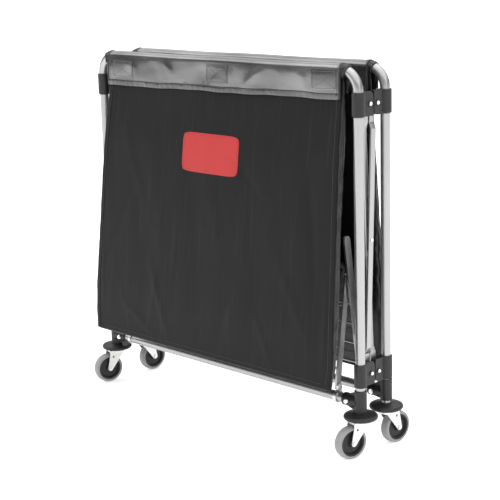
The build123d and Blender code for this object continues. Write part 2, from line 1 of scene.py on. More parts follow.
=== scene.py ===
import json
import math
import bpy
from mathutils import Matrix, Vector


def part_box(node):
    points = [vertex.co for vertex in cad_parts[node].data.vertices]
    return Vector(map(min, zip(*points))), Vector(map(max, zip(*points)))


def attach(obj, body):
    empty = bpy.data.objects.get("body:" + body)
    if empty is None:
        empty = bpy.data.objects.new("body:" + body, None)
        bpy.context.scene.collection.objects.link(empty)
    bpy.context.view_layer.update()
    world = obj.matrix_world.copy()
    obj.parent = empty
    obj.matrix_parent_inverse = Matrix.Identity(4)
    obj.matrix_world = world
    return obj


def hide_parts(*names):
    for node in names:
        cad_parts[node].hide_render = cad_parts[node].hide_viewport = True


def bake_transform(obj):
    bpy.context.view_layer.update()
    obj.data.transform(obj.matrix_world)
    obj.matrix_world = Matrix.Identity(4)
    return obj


bl_info = {
    "name": "Linen Trolley",
    "version": (1, 0, 0),
    "blender": (4, 5, 0),
    "location": "3D View > Sidebar > Trolley",
    "description": "Sews a folding linen trolley's vinyl bag and finishes its frame, fittings and casters",
    "category": "Object",
}

import bpy
import numpy as np
from bpy.props import FloatProperty, FloatVectorProperty, IntProperty, PointerProperty
from mathutils import Matrix, Vector

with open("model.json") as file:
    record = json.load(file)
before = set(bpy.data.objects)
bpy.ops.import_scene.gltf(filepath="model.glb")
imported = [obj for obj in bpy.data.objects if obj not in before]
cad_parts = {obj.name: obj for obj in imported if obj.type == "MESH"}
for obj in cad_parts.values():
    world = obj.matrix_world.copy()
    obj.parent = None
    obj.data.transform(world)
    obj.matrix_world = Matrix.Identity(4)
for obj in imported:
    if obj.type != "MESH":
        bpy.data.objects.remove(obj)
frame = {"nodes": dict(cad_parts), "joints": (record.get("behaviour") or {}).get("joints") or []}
bpy.context.view_layer.update()

MM = 0.001
SIDES = ("front", "back")
HANDS = (("left", -1), ("right", 1))      # the two ends of the trolley, and their way along x
JOINTS = {joint["name"]: joint for joint in frame["joints"]}
CUFF_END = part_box("front_cuff")[1].x
RAIL_R = 11.0 * MM
WRAP_R = RAIL_R + 1.2 * MM      # rail axis to about the middle of the cuff's cloth
WRAP = math.pi * WRAP_R         # cloth that lies over the top half of a rail
BEND_X, BEND_R = 370 * MM, 45 * MM      # where a rail's end bend begins, and its centreline radius
FLAP_DEPTH = 66 * MM            # the nominal flap depth that the flap's soft folds are laid out on
LEAF_WIDE = 264.8 * MM          # panel edge to the middle of a gusset leaf's binding, folded


# ---- sizes and colours a user would change ----------------------------------------------------------

class BagSizes(bpy.types.PropertyGroup):
    """Sizes of the sewn bag."""
    cuff_half: FloatProperty(
        name="Cuff half width", description="Half the length of a cuff along its rail",
        default=CUFF_END, unit="LENGTH")
    cuff_drop_left: FloatProperty(
        name="Flap drop, left", description="Rail axis down to the flap's hem at the left end",
        default=69 * MM, unit="LENGTH")
    cuff_drop_right: FloatProperty(
        name="Flap drop, right", description="Rail axis down to the flap's hem at the right end",
        default=61 * MM, unit="LENGTH")
    cuff_inside: FloatProperty(
        name="Inner flap", description="Rail axis down to the inner flap's edge",
        default=51 * MM, unit="LENGTH")
    cuff_thick: FloatProperty(
        name="Cuff thickness", description="Two layers of vinyl and the webbing between them",
        default=1.7 * MM, unit="LENGTH")
    hem: FloatProperty(
        name="Hem", description="Width of the turned hem on flap and panel", default=12 * MM, unit="LENGTH")
    tab_wide: FloatProperty(
        name="Patch width", description="Width of a box-stitched patch", default=72 * MM, unit="LENGTH")
    tab_tall: FloatProperty(
        name="Patch height", description="Height of a box-stitched patch", default=43 * MM, unit="LENGTH")
    stitch: FloatProperty(
        name="Stitch pitch", description="From one stitch to the next", default=4.2 * MM, unit="LENGTH")
    panel_thick: FloatProperty(
        name="Vinyl thickness", description="Thickness of the bag's vinyl", default=1.4 * MM, unit="LENGTH")
    grid: FloatProperty(
        name="Cloth mesh", description="Size of one mesh cell of the bag's cloth",
        default=6 * MM, unit="LENGTH")
    label_wide: FloatProperty(
        name="Label width", description="Width of the woven label", default=184 * MM, unit="LENGTH")
    label_tall: FloatProperty(
        name="Label height", description="Height of the woven label", default=92 * MM, unit="LENGTH")
    label_drop: FloatProperty(
        name="Label drop", description="Rail axis down to the label's middle, along the panel",
        default=211 * MM, unit="LENGTH")
    crease_seed: IntProperty(
        name="Crease seed", description="Seed of the small creases", default=7, min=0)


class Colours(bpy.types.PropertyGroup):
    """Base colours of the finishes."""
    silver: FloatVectorProperty(
        name="Powder coat", description="Silver coat of tubes and bars", subtype="COLOR",
        default=(0.40, 0.40, 0.405), min=0, max=1)
    zinc: FloatVectorProperty(
        name="Zinc", description="Plated forks, stems and bolts", subtype="COLOR",
        default=(0.70, 0.70, 0.69), min=0, max=1)
    nylon: FloatVectorProperty(
        name="Nylon", description="Moulded sockets, sliders and bumper discs", subtype="COLOR",
        default=(0.014, 0.014, 0.015), min=0, max=1)
    tyre: FloatVectorProperty(
        name="Tyre", description="Non-marking tyre", subtype="COLOR",
        default=(0.27, 0.27, 0.275), min=0, max=1)
    bag: FloatVectorProperty(
        name="Bag vinyl", description="Panels, gussets and bottom", subtype="COLOR",
        default=(0.0085, 0.0085, 0.0088), min=0, max=1)
    cuff: FloatVectorProperty(
        name="Cuff vinyl", description="Cuffs over the rails", subtype="COLOR",
        default=(0.115, 0.115, 0.117), min=0, max=1)
    label: FloatVectorProperty(
        name="Label", description="Woven label on the front panel", subtype="COLOR",
        default=(0.46, 0.026, 0.026), min=0, max=1)


class Studio(bpy.types.PropertyGroup):
    """Where the camera stands and how the light is set."""
    azimuth: FloatProperty(
        name="Azimuth", description="Camera's turn round the trolley", default=math.radians(44.64),
        subtype="ANGLE")
    elevation: FloatProperty(
        name="Elevation", description="Camera's height above the horizon", default=math.radians(13.01),
        subtype="ANGLE")
    roll: FloatProperty(
        name="Roll", description="Camera's tilt about its own axis", default=math.radians(-1.54),
        subtype="ANGLE")
    distance: FloatProperty(
        name="Distance", description="Camera to target", default=3.147, unit="LENGTH")
    lens: FloatProperty(name="Lens", description="Focal length in millimetres", default=95.7)
    target: FloatVectorProperty(
        name="Target", description="Point the camera is aimed at", default=(0.0415, 0.0, 0.4067),
        subtype="TRANSLATION", unit="LENGTH")
    key_power: FloatProperty(
        name="Key", description="Power of the large soft light", default=34.0, unit="POWER")
    fill_power: FloatProperty(
        name="Fill", description="Power of the fill light", default=10.0, unit="POWER")


# ---- finishes -----------------------------------------------------------------------------------

class Value:
    """A node's output that Python's operators work on; each expression adds its Math node."""

    def __init__(self, finish, socket):
        self.finish, self.socket = finish, socket

    def maths(self, operation, *values):
        return self.finish.add("ShaderNodeMath", {"operation": operation}, dict(enumerate(values)))

    def __add__(self, other):
        return self.maths("ADD", self, other)

    def __sub__(self, other):
        return self.maths("SUBTRACT", self, other)

    def __rsub__(self, other):
        return self.maths("SUBTRACT", other, self)

    def __mul__(self, other):
        return self.maths("MULTIPLY", self, other)

    def sine(self):
        return self.maths("SINE", self)

    __radd__ = __add__
    __rmul__ = __mul__


class Finish:
    """One procedural material with a Principled shader, built up from sockets and expressions."""

    def __init__(self, name, **constants):
        self.material = bpy.data.materials.new(name)
        self.material.use_nodes = True
        self.tree = self.material.node_tree
        self.tree.nodes.clear()
        self.shader = self.tree.nodes.new("ShaderNodeBsdfPrincipled")
        out = self.tree.nodes.new("ShaderNodeOutputMaterial")
        self.tree.links.new(self.shader.outputs[0], out.inputs["Surface"])
        for socket, value in constants.items():
            self.feed(self.shader.inputs[socket.replace("_", " ")], value)

    def feed(self, socket, value):
        if isinstance(value, Value):
            self.tree.links.new(value.socket, socket)
        elif isinstance(value, tuple):
            socket.default_value = (*value, 1.0) if len(socket.default_value) > len(value) else value
        else:
            socket.default_value = value

    def add(self, kind, settings=None, sockets=None, output=0):
        """Any node: its type, its settings first, then its sockets' values or links."""
        node = self.tree.nodes.new(kind)
        for name, value in (settings or {}).items():
            setattr(node, name, value)
        for key, value in (sockets or {}).items():
            self.feed(node.inputs[key], value)
        return Value(self, node.outputs[output])

    def set(self, **sockets):
        """What varies over the surface: Base_Color, Roughness, Metallic, Coat_Weight or Normal."""
        for socket, value in sockets.items():
            self.feed(self.shader.inputs[socket.replace("_", " ")], value)
        return self.material

    def place(self):
        """The point on the piece, in metres, as it was made."""
        return self.add("ShaderNodeTexCoord", output="Object")

    def cut(self):
        """The point on the flat cloth, in metres."""
        return self.add("ShaderNodeUVMap", {"uv_map": "cut"})

    def stretched(self, where, scale):
        return self.add("ShaderNodeVectorMath", {"operation": "MULTIPLY"}, {0: where, 1: scale})

    def noise(self, where, scale, detail=3.0, roughness=0.5):
        return self.add(
            "ShaderNodeTexNoise", {"noise_dimensions": "3D"},
            {"Vector": where, "Scale": scale, "Detail": detail, "Roughness": roughness})

    def spread(self, value, low, high):
        """Values from low to high spread smoothly over 0 to 1, and held beyond it."""
        return self.add(
            "ShaderNodeMapRange", {"interpolation_type": "SMOOTHSTEP"},
            {"Value": value, "From Min": low, "From Max": high})

    def mix(self, share, first, second):
        return self.add("ShaderNodeMix", {"data_type": "RGBA"}, {0: share, 6: first, 7: second}, output=2)

    def bump(self, height, distance, strength):
        return self.add(
            "ShaderNodeBump", None, {"Height": height, "Distance": distance, "Strength": strength})

    def axes(self, vector):
        split = self.add("ShaderNodeSeparateXYZ", None, {0: vector})
        return [Value(self, split.socket.node.outputs[i]) for i in range(3)]

    def edges_worn_and_highlit(self, width):
        """1 on sharp outer edges, falling to 0 within the given width."""
        soft = self.add("ShaderNodeBevel", {"samples": 4}, {"Radius": width})
        hard = self.add("ShaderNodeNewGeometry", output="Normal")
        facing = self.add("ShaderNodeVectorMath", {"operation": "DOT_PRODUCT"}, {0: soft, 1: hard}, output=1)
        return self.spread(1.0 - facing, 0.01, 0.16)


def tinted(colour, by):
    """The colour made lighter or darker, and never past white."""
    return tuple(min(1.0, c * by) for c in colour)


def silver_powder_coat(colour):
    """Satin silver powder coat: fine orange peel, cloudy gloss, and faint rubbed streaks along the tube."""
    coat = Finish("silver_powder_coat", Specular_IOR_Level=0.6, Coat_Roughness=0.22)
    place = coat.place()
    cloud = coat.noise(place, 9.0, 4.0)
    streak = coat.noise(coat.stretched(place, (160.0, 160.0, 7.0)), 1.0, 3.0, 0.6)
    speck = coat.spread(coat.noise(place, 420.0, 2.0), 0.66, 0.74)
    rubbed = coat.spread(streak, 0.60, 0.74)
    peel = coat.noise(place, 950.0, 2.0)
    base = coat.mix(cloud, tinted(colour, 0.93), tinted(colour, 1.07))
    base = coat.mix(rubbed * 0.35, base, tinted(colour, 1.22))
    return coat.set(
        Base_Color=coat.mix(speck * 0.4, base, tinted(colour, 0.55)),
        Metallic=0.85,
        Roughness=0.24 + 0.10 * cloud + 0.05 * streak,
        Coat_Weight=0.18 + 0.15 * cloud,
        Normal=coat.bump(peel + 0.4 * cloud, 0.05 * MM, 0.55))


def bright_zinc(colour):
    """Bright zinc plate: blotchy crystals, rolled grain and duller, slightly yellow patches."""
    zinc = Finish("bright_zinc_plate", Metallic=1.0)
    place = zinc.place()
    patch = zinc.noise(place, 38.0, 4.0)
    grain = zinc.noise(zinc.stretched(place, (900.0, 900.0, 60.0)), 1.0, 2.0)
    spangle = zinc.add("ShaderNodeTexVoronoi", {"feature": "F1"}, {"Vector": place, "Scale": 260.0})
    base = zinc.mix(patch, tinted(colour, 0.86), tinted(colour, 1.14))
    base = zinc.mix(zinc.spread(patch, 0.55, 0.72) * 0.35, base, (0.66, 0.62, 0.50))
    return zinc.set(
        Base_Color=base,
        Roughness=0.20 + 0.20 * patch + 0.10 * grain,
        Normal=zinc.bump(grain + 0.6 * spangle, 0.03 * MM, 0.5))


def polished_steel():
    """Bright rivet heads with fine turning marks and a few handling scratches."""
    steel = Finish("polished_rivet_steel", Metallic=1.0)
    place = steel.place()
    scratch = steel.spread(steel.noise(steel.stretched(place, (300.0, 2600.0, 300.0)), 1.0, 2.0), 0.62, 0.70)
    dull = steel.noise(place, 240.0, 3.0)
    return steel.set(
        Base_Color=steel.mix(dull, (0.72, 0.72, 0.71), (0.90, 0.90, 0.89)),
        Roughness=0.12 + 0.14 * dull + 0.10 * scratch,
        Normal=steel.bump(scratch, 0.01 * MM, 0.4))


def moulded_nylon(name, colour, gloss):
    """Spark-textured black nylon, polished and paler on its edges: the paler edge colour is partly rubbed
    wear and partly a painted edge highlight.
    """
    nylon = Finish(name, Specular_IOR_Level=0.40)
    place = nylon.place()
    texture = nylon.noise(place, 1500.0, 2.0, 0.6)
    flow = nylon.noise(nylon.stretched(place, (40.0, 40.0, 90.0)), 1.0, 3.0)
    dust = nylon.spread(nylon.noise(place, 70.0, 5.0, 0.7), 0.52, 0.80)
    wear_and_highlight = nylon.edges_worn_and_highlit(0.9 * MM)
    base = nylon.mix(flow, tinted(colour, 0.80), tinted(colour, 1.25))
    base = nylon.mix(dust * 0.16, base, (0.09, 0.09, 0.09))
    return nylon.set(
        # partly rubbed wear, partly painted highlight: sharp edges are made paler, towards (0.10, 0.10,
        # 0.105)
        Base_Color=nylon.mix(wear_and_highlight * 0.40, base, (0.10, 0.10, 0.105)),
        Roughness=gloss + 0.12 * flow + 0.10 * dust - 0.10 * wear_and_highlight,
        Normal=nylon.bump(texture, 0.08 * MM, 0.45))


def tyre_rubber(colour):
    """Grey non-marking tyre: dull tread with picked-up dust, faint mould grain and scuffs."""
    rubber = Finish("grey_tyre_rubber", Specular_IOR_Level=0.45)
    place = rubber.place()
    grain = rubber.noise(place, 1100.0, 2.0)
    blotch = rubber.noise(place, 55.0, 5.0, 0.65)
    scuff = rubber.spread(blotch, 0.56, 0.70)
    base = rubber.mix(blotch, tinted(colour, 0.84), tinted(colour, 1.16))
    return rubber.set(
        Base_Color=rubber.mix(scuff * 0.30, base, tinted(colour, 0.60)),
        Roughness=0.46 + 0.16 * blotch,
        Normal=rubber.bump(grain + 0.5 * blotch, 0.07 * MM, 0.5))


def plain_weave(finish, cut, pitch):
    """The height of the backing's plain weave that shows through the vinyl."""
    across, down, _ = finish.axes(cut)
    turn = 2 * math.pi / pitch
    return (across * turn).sine() * (down * turn).sine()


def bag_vinyl(colour):
    """Matte charcoal vinyl on a woven backing: the weave prints through, with chalky wear on the folds."""
    vinyl = Finish("bag_vinyl", Specular_IOR_Level=0.16)
    cut = vinyl.cut()
    weave = plain_weave(vinyl, cut, 1.3 * MM)
    cloud = vinyl.noise(cut, 7.0, 5.0, 0.6)
    drag = vinyl.noise(vinyl.stretched(cut, (90.0, 4.0, 1.0)), 1.0, 4.0, 0.65)
    chalk = vinyl.spread(drag, 0.50, 0.74)
    crackle = vinyl.noise(cut, 130.0, 4.0, 0.7)
    base = vinyl.mix(cloud, tinted(colour, 0.70), tinted(colour, 1.35))
    return vinyl.set(
        Base_Color=vinyl.mix(chalk * 0.50, base, tinted(colour, 2.6)),
        Roughness=0.40 + 0.14 * cloud + 0.10 * drag,
        Normal=vinyl.bump(0.35 * weave + 0.9 * crackle + 1.6 * cloud, 0.10 * MM, 0.55))


def gloss_vinyl_painted_shade(colour):
    """The bag's inner face: the same vinyl, smoother, so that gussets and bottom shine on their crumples; its
    colour is darkened below the panels' vinyl as painted shade of the folded-in pieces.
    """
    vinyl = Finish("gusset_vinyl", Specular_IOR_Level=0.55)
    cut = vinyl.cut()
    weave = plain_weave(vinyl, cut, 1.3 * MM)
    cloud = vinyl.noise(cut, 16.0, 5.0, 0.6)
    crumple = vinyl.noise(cut, 48.0, 4.0, 0.6)
    return vinyl.set(
        # painted shade: the same vinyl's colour is taken down to 0.55 to 0.95 of the bag colour, darker than
        # the panels
        Base_Color=vinyl.mix(cloud, tinted(colour, 0.55), tinted(colour, 0.95)),
        Roughness=0.26 + 0.16 * cloud,
        Normal=vinyl.bump(0.15 * weave + 3.0 * crumple, 0.25 * MM, 0.6))


def cuff_vinyl(name, colour):
    """Satin grey coated vinyl over the rails: broad soft clouds of gloss, fine grain, rubbed fold lines, and
    broad light and dark clouds in the base colour that are painted light and shade of the flap's soft waves.
    """
    vinyl = Finish(name, Specular_IOR_Level=0.75, Coat_Roughness=0.14)
    cut = vinyl.cut()
    weave = plain_weave(vinyl, cut, 1.1 * MM)
    cloud = vinyl.noise(vinyl.stretched(cut, (5.0, 17.0, 1.0)), 1.0, 3.0, 0.5)
    grain = vinyl.noise(cut, 700.0, 2.0)
    pucker = vinyl.noise(cut, 60.0, 3.0, 0.55)
    rub = vinyl.spread(vinyl.noise(vinyl.stretched(cut, (24.0, 160.0, 1.0)), 1.0, 3.0), 0.60, 0.75)
    # painted light and shade: broad clouds take the base colour from 0.55 to 1.45 of the cuff colour, in
    # place of the shading of the flap's waves
    base = vinyl.mix(vinyl.spread(cloud, 0.32, 0.68), tinted(colour, 0.55), tinted(colour, 1.45))
    return vinyl.set(
        Base_Color=vinyl.mix(rub * 0.25, base, tinted(colour, 1.8)),
        Metallic=0.70,
        Roughness=0.17 + 0.10 * cloud + 0.04 * pucker,
        Coat_Weight=0.80 + 0.20 * cloud,
        Normal=vinyl.bump(0.12 * weave + 0.25 * grain + 1.8 * pucker, 0.20 * MM, 0.6))


def binding_tape():
    """Black ribbed binding tape."""
    tape = Finish("binding_tape", Sheen_Weight=0.15, Sheen_Roughness=0.4)
    cut = tape.cut()
    _, along, _ = tape.axes(cut)
    rib = (along * (2 * math.pi / (1.4 * MM))).sine()
    fuzz = tape.noise(cut, 500.0, 3.0)
    return tape.set(
        Base_Color=tape.mix(fuzz, (0.010, 0.010, 0.011), (0.026, 0.026, 0.027)),
        Roughness=0.42 + 0.18 * fuzz,
        Normal=tape.bump(rib + 0.4 * fuzz, 0.12 * MM, 0.6))


def thread(name, colour):
    """Bonded polyester thread with a visible twist."""
    yarn = Finish(name, Sheen_Weight=0.2)
    x, y, z = yarn.axes(yarn.place())
    twist = ((x + y + z) * (2 * math.pi / (0.7 * MM))).sine()
    fuzz = yarn.noise(yarn.place(), 900.0, 2.0)
    return yarn.set(
        Base_Color=yarn.mix(fuzz, tinted(colour, 0.8), tinted(colour, 1.25)),
        Roughness=0.50 + 0.12 * fuzz,
        Normal=yarn.bump(twist, 0.06 * MM, 0.5))


def woven_label(colour):
    """Plain brick-red damask label: twill ribs, a darker sewn border and a little fading. No wording."""
    label = Finish("woven_label", Sheen_Weight=0.10, Sheen_Roughness=0.35, Specular_IOR_Level=0.4)
    cut = label.cut()
    across, down, _ = label.axes(cut)
    twill = ((across + down) * (2 * math.pi / (1.6 * MM))).sine()
    warp = (across * (2 * math.pi / (0.7 * MM))).sine()
    fade = label.noise(cut, 22.0, 4.0, 0.6)
    base = label.mix(fade, tinted(colour, 0.86), tinted(colour, 1.12))
    return label.set(
        Base_Color=label.mix(label.spread(twill, -0.9, 0.9) * 0.25, base, tinted(colour, 0.62)),
        Roughness=0.46 + 0.12 * fade,
        Normal=label.bump(0.7 * twill + 0.3 * warp, 0.12 * MM, 0.55))


def pale_floor():
    """Pale seamless studio floor."""
    floor = Finish(
        "pale_floor", Specular_IOR_Level=0.1, Emission_Strength=0.45, Emission_Color=(1.0, 1.0, 1.0))
    place = floor.place()
    return floor.set(
        Base_Color=floor.mix(floor.noise(place, 2.0), (0.90, 0.90, 0.90), (0.92, 0.92, 0.92)),
        Roughness=0.82 + 0.08 * floor.noise(place, 30.0))


# ---- cloth and thread meshes --------------------------------------------------------------------

X_AXIS = np.array([1.0, 0, 0])
FINISHES = {}           # the materials by short name, filled by MixFinishes


def new_piece(name, points, faces, finish, cut=None, crease=48.0):
    """A finished mesh piece. finish is a short name, and cut holds each point's place on the flat cloth."""
    mesh = bpy.data.meshes.new(name)
    mesh.from_pydata(np.asarray(points).tolist(), [], [list(map(int, f)) for f in faces])
    if cut is not None:
        corner = np.empty(len(mesh.loops), np.int32)
        mesh.loops.foreach_get("vertex_index", corner)
        layer = mesh.uv_layers.new(name="cut")
        layer.data.foreach_set("uv", np.asarray(cut, np.float32)[corner].ravel())
    mesh.shade_smooth()
    mesh.set_sharp_from_angle(angle=math.radians(crease))
    mesh.materials.append(FINISHES[finish])
    mesh.validate()
    piece = bpy.data.objects.new(name, mesh)
    bpy.context.scene.collection.objects.link(piece)
    return piece


def unit(vectors):
    """The vectors scaled to length 1."""
    return vectors / np.maximum(np.linalg.norm(vectors, axis=-1, keepdims=True), 1e-12)


def arc_length(path):
    """How far along the path each of its points is."""
    return np.concatenate([[0], np.cumsum(np.linalg.norm(np.diff(path, axis=0), axis=1))])


def cloth(name, grid, cut, thick, finish, flip=False):
    """A thin closed shell about a grid of middle points. cut is the two coordinates on the flat cloth, and
    flip turns the grid's columns round, so that the faces point outwards."""
    cut = np.stack(np.broadcast_arrays(*cut), -1)
    if flip:
        grid, cut = grid[:, ::-1], cut[:, ::-1]
    rows, columns = grid.shape[:2]
    count = rows * columns
    offset = unit(np.cross(np.gradient(grid, axis=1), np.gradient(grid, axis=0))) * (thick / 2)
    points = np.concatenate([(grid + offset).reshape(-1, 3), (grid - offset).reshape(-1, 3)])
    index = np.arange(count).reshape(rows, columns)
    a, b, c, d = index[:-1, :-1], index[:-1, 1:], index[1:, 1:], index[1:, :-1]
    face = np.stack([a, b, c, d], -1).reshape(-1, 4)
    rim = np.concatenate([index[0, :], index[1:, -1], index[-1, -2::-1], index[-2:0:-1, 0]])
    after = np.roll(rim, -1)
    edge = np.stack([after, rim, rim + count, after + count], -1)
    faces = np.concatenate([face, face[:, ::-1] + count, edge])
    return new_piece(name, points, faces, finish, np.tile(cut.reshape(-1, 2), (2, 1)))


def spaced(path, *others, step):
    """The path and what goes with it, sampled again at even steps along its length."""
    length = arc_length(path)
    count = max(2, int(round(length[-1] / step)) + 1)
    at = np.linspace(0, length[-1], count)
    return [np.stack([np.interp(at, length, part[:, k]) for k in range(part.shape[1])], 1)
            for part in (path, *others)]


def swept_tape(name, path, normal, wide, thick, finish):
    """A folded tape or piping swept along a path: an oval section, wide along the cloth and thick off it."""
    tangent = unit(np.gradient(path, axis=0))
    sideways = unit(np.cross(tangent, normal))
    off = np.cross(sideways, tangent)
    sides = 12
    turn = np.linspace(0, 2 * math.pi, sides, endpoint=False)
    across, up = np.cos(turn), np.sin(turn)
    across, up = np.sign(across) * abs(across) ** 0.7, np.sign(up) * abs(up) ** 0.7
    taper = np.ones(len(path))      # the two cut ends are pinched
    taper[[0, -1]] = 0.55
    taper[[1, -2]] = 0.92
    points = (path[:, None] + taper[:, None, None] * (
        sideways[:, None] * across[None, :, None] * wide / 2 + off[:, None] * up[None, :, None] * thick / 2))
    length = arc_length(path)
    cut = np.stack(np.broadcast_arrays(turn[None, :] / (2 * math.pi) * 2 * wide, length[:, None]), -1)
    index = np.arange(len(path) * sides).reshape(len(path), sides)
    beside = np.roll(index, -1, axis=1)
    faces = list(np.stack([index[:-1], beside[:-1], beside[1:], index[1:]], -1).reshape(-1, 4))
    faces += [index[0][::-1], index[-1]]
    return new_piece(name, points.reshape(-1, 3), faces, finish, cut.reshape(-1, 2), 60)


def stitches(name, runs, pitch, finish, width=0.9 * MM, share=0.78):
    """Runs of single lockstitches: each a small spindle of thread that dips into the cloth at both ends.
    A run is a path and the cloth's outward normals along it."""
    # each ring's place along the stitch, its thickness and its height, as shares of length and width
    sides, rings = 6, ((-0.5, 0.25, -0.5), (-0.30, 0.9, 0.25), (0.30, 0.9, 0.25), (0.5, 0.25, -0.5))
    turn = np.linspace(0, 2 * math.pi, sides, endpoint=False)
    points, faces = [], []
    for path, normal in runs:
        path, normal = spaced(path, normal, step=pitch)
        along = np.diff(path, axis=0)
        middle = (path[1:] + path[:-1]) / 2
        off = unit((normal[1:] + normal[:-1]) / 2)
        side = unit(np.cross(along, off))
        for m, t, n, s in zip(middle, along, off, side):
            first = len(points)
            for reach, fat, lift in rings:
                centre = m + t * reach * share + n * lift * width
                points += list(centre + fat * width / 2 * (
                    np.cos(turn)[:, None] * s + np.sin(turn)[:, None] * n))
            for r in range(len(rings) - 1):
                for k in range(sides):
                    k2, low, high = (k + 1) % sides, first + r * sides, first + (r + 1) * sides
                    faces.append((high + k, high + k2, low + k2, low + k))
            faces.append([first + k for k in range(sides)])
            faces.append([first + (len(rings) - 1) * sides + k for k in reversed(range(sides))])
    return new_piece(name, points, faces, finish, crease=80)


def fold_ridge(x, v, start, end, width, height):
    """The height of a soft fold that runs from start to end on the cloth and fades out at both."""
    (ax, ay), (bx, by) = start, end
    dx, dy = bx - ax, by - ay
    share = ((x - ax) * dx + (v - ay) * dy) / (dx * dx + dy * dy)
    held = np.clip(share, 0, 1)
    away = np.hypot(x - ax - held * dx, v - ay - held * dy)
    fade = np.clip(np.sin(math.pi * np.clip(0.04 + 0.92 * share, 0, 1)), 0, 1) ** 0.6
    return height * fade * np.exp(-(away / width) ** 2)


def smooth(t):
    """0 to 1 with level ends, and held beyond them."""
    t = np.clip(t, 0, 1)
    return t * t * (3 - 2 * t)


# ---- the bag's surfaces ----------------------------------------------------------------------------

class BagSide:
    """One half of the bag: where its rail, panel and fold lines are, read from the frame's joints."""

    def __init__(self, side):
        self.side = side
        self.sign = -1 if side == "front" else 1
        self.rail = np.array(JOINTS[f"bag_{side}_swing"]["pos_m"])
        self.foot = np.array(JOINTS[f"bag_{side}_bottom_fold"]["pos_m"])
        drop = self.foot - self.rail
        self.length = float(np.linalg.norm(drop))
        self.hem_at = self.length + 6 * MM       # the cloth's own lower edge
        self.down = drop / self.length
        self.out = np.array([0.0, -self.sign * self.down[2], self.sign * self.down[1]])
        self.bag = bpy.context.scene.trolley_bag
        maker = np.random.default_rng(self.bag.crease_seed + (self.sign > 0))
        self.creases = []
        for _ in range(26):
            x, v = maker.uniform(-0.34, 0.34), maker.uniform(0.12, 0.60)
            lean, long = maker.normal(0, 0.55), maker.uniform(0.05, 0.20)
            self.creases.append((
                (x, v), (x + long * math.sin(lean), v + long * math.cos(lean)),
                maker.uniform(3, 9) * MM, maker.uniform(-0.9, 0.9) * MM))

    def half(self, v):
        """Half the panel's width at a distance down from the rail axis: widest a little above the foot."""
        return np.interp(
            v, (0.0, 0.10, 0.25, 0.45, 0.58, 0.64, 0.684, 0.70),
            (0.3750, 0.3800, 0.3865, 0.3940, 0.3985, 0.3985, 0.3945, 0.3935))

    def bulge(self, v):
        """How far the whole side, edges too, stands out from its flat plane. Only the front side is slack."""
        along = v / self.length
        slack = 9 * MM if self.sign < 0 else 0.0
        return slack * smooth(along / 0.32) * (1 - 0.5 * smooth((along - 0.8) / 0.2))

    def panel_lift(self, x, v):
        """How far the panel's middle surface stands off its flat plane, outwards."""
        across, along = x / self.half(v), v / self.length
        belly = 2.6 * MM * np.sin(math.pi * smooth((along - 0.08) / 0.92)) * (1 - across ** 4)
        drape = np.sin(x * 31 + 1.3 * np.sin(v * 9)) + 0.6 * np.sin(x * 67 + 2.0 + 2 * np.sin(v * 7 + 1))
        drape = 0.55 * MM * drape * smooth((along - 0.12) / 0.3) * smooth((0.99 - along) / 0.1)
        lift = self.bulge(v) + belly + drape
        # long pulls in the vinyl: start and end on the cloth in metres, then width and height in mm
        slants = (
            ((-0.33, 0.13), (-0.20, 0.40), 14, 0.9), ((0.33, 0.14), (0.17, 0.38), 14, 0.9),
            ((-0.26, 0.30), (-0.36, 0.52), 11, -0.8), ((-0.20, 0.48), (-0.13, 0.665), 9, 1.3),
            ((0.10, 0.50), (0.03, 0.66), 9, -0.9), ((0.22, 0.42), (0.34, 0.62), 12, 1.0),
            ((0.16, 0.56), (0.22, 0.672), 7, 1.2), ((-0.02, 0.20), (0.06, 0.50), 16, 0.7),
            ((-0.30, 0.60), (-0.18, 0.672), 7, 1.0), ((0.30, 0.20), (0.345, 0.50), 9, -0.9),
            ((0.374, 0.46), (0.371, 0.66), 5, 1.8), ((-0.374, 0.40), (-0.372, 0.64), 6, 1.2))
        for start, end, width, height in slants:
            lift = lift + fold_ridge(x, v, start, end, width * MM, height * MM)
        for start, end, width, height in self.creases:
            lift = lift + fold_ridge(x, v, start, end, width, height)
        return lift

    def panel(self, x, v, lift=0.0):
        """Points on the panel's middle surface, or lifted off it. Its side and lower edges roll inwards."""
        half = self.half(v)
        roll = 3 * MM
        inset = np.clip(abs(x) - (half - roll), 0, None) / roll
        below = np.clip(v - (self.hem_at - roll), 0, None) / roll
        rolled_x = np.sign(x) * (np.minimum(abs(x), half - roll) + roll * np.sin(np.minimum(inset, 1.5)))
        rolled_v = np.minimum(v, self.hem_at - roll) + roll * np.sin(np.minimum(below, 1.5))
        sink = roll * (1 - np.cos(np.minimum(inset, 1.5))) + roll * (1 - np.cos(np.minimum(below, 1.5)))
        rise = self.panel_lift(x, v) - sink + lift
        return (self.rail + rolled_x[..., None] * X_AXIS
                + rolled_v[..., None] * self.down + rise[..., None] * self.out)

    def drop(self, x):
        """The outer flap's depth below the rail axis."""
        share = x / self.bag.cuff_half / 2 + 0.5
        if self.sign > 0:
            share = 1 - share
        return (self.bag.cuff_drop_left + share * (self.bag.cuff_drop_right - self.bag.cuff_drop_left)
                + 0.8 * MM * np.sin(x * 23) + 0.5 * MM * np.sin(x * 61 + 1))

    def cuff(self, x, q, lift=0.0):
        """Points on a cuff. q runs from -1 at the outer hem to 0 where the flap leaves the rail, 1 inside,
        and 2 at the inner edge. lift is off the cloth, away from the rail."""
        radius = RAIL_R + 0.3 * MM + self.bag.cuff_thick / 2 + lift
        hang = np.clip(-q, 0, 1)
        turn = np.clip(q, 0, 1) * math.pi
        inside = np.clip(q - 1, 0, 1)
        ease = hang ** 2 * (3 - 2 * hang)
        view = -self.sign * x
        wave = 1.5 * MM * ease + ease * MM * (
            1.5 * np.sin(view * 15 + 0.6) + 0.8 * np.sin(view * 37 + 2.1) + 0.4 * np.sin(view * 71))
        wave = wave + 2.2 * MM * np.sin(math.pi * hang ** 0.7) * (0.6 + 0.4 * np.sin(view * 11 - 1.0))
        depth = hang * FLAP_DEPTH
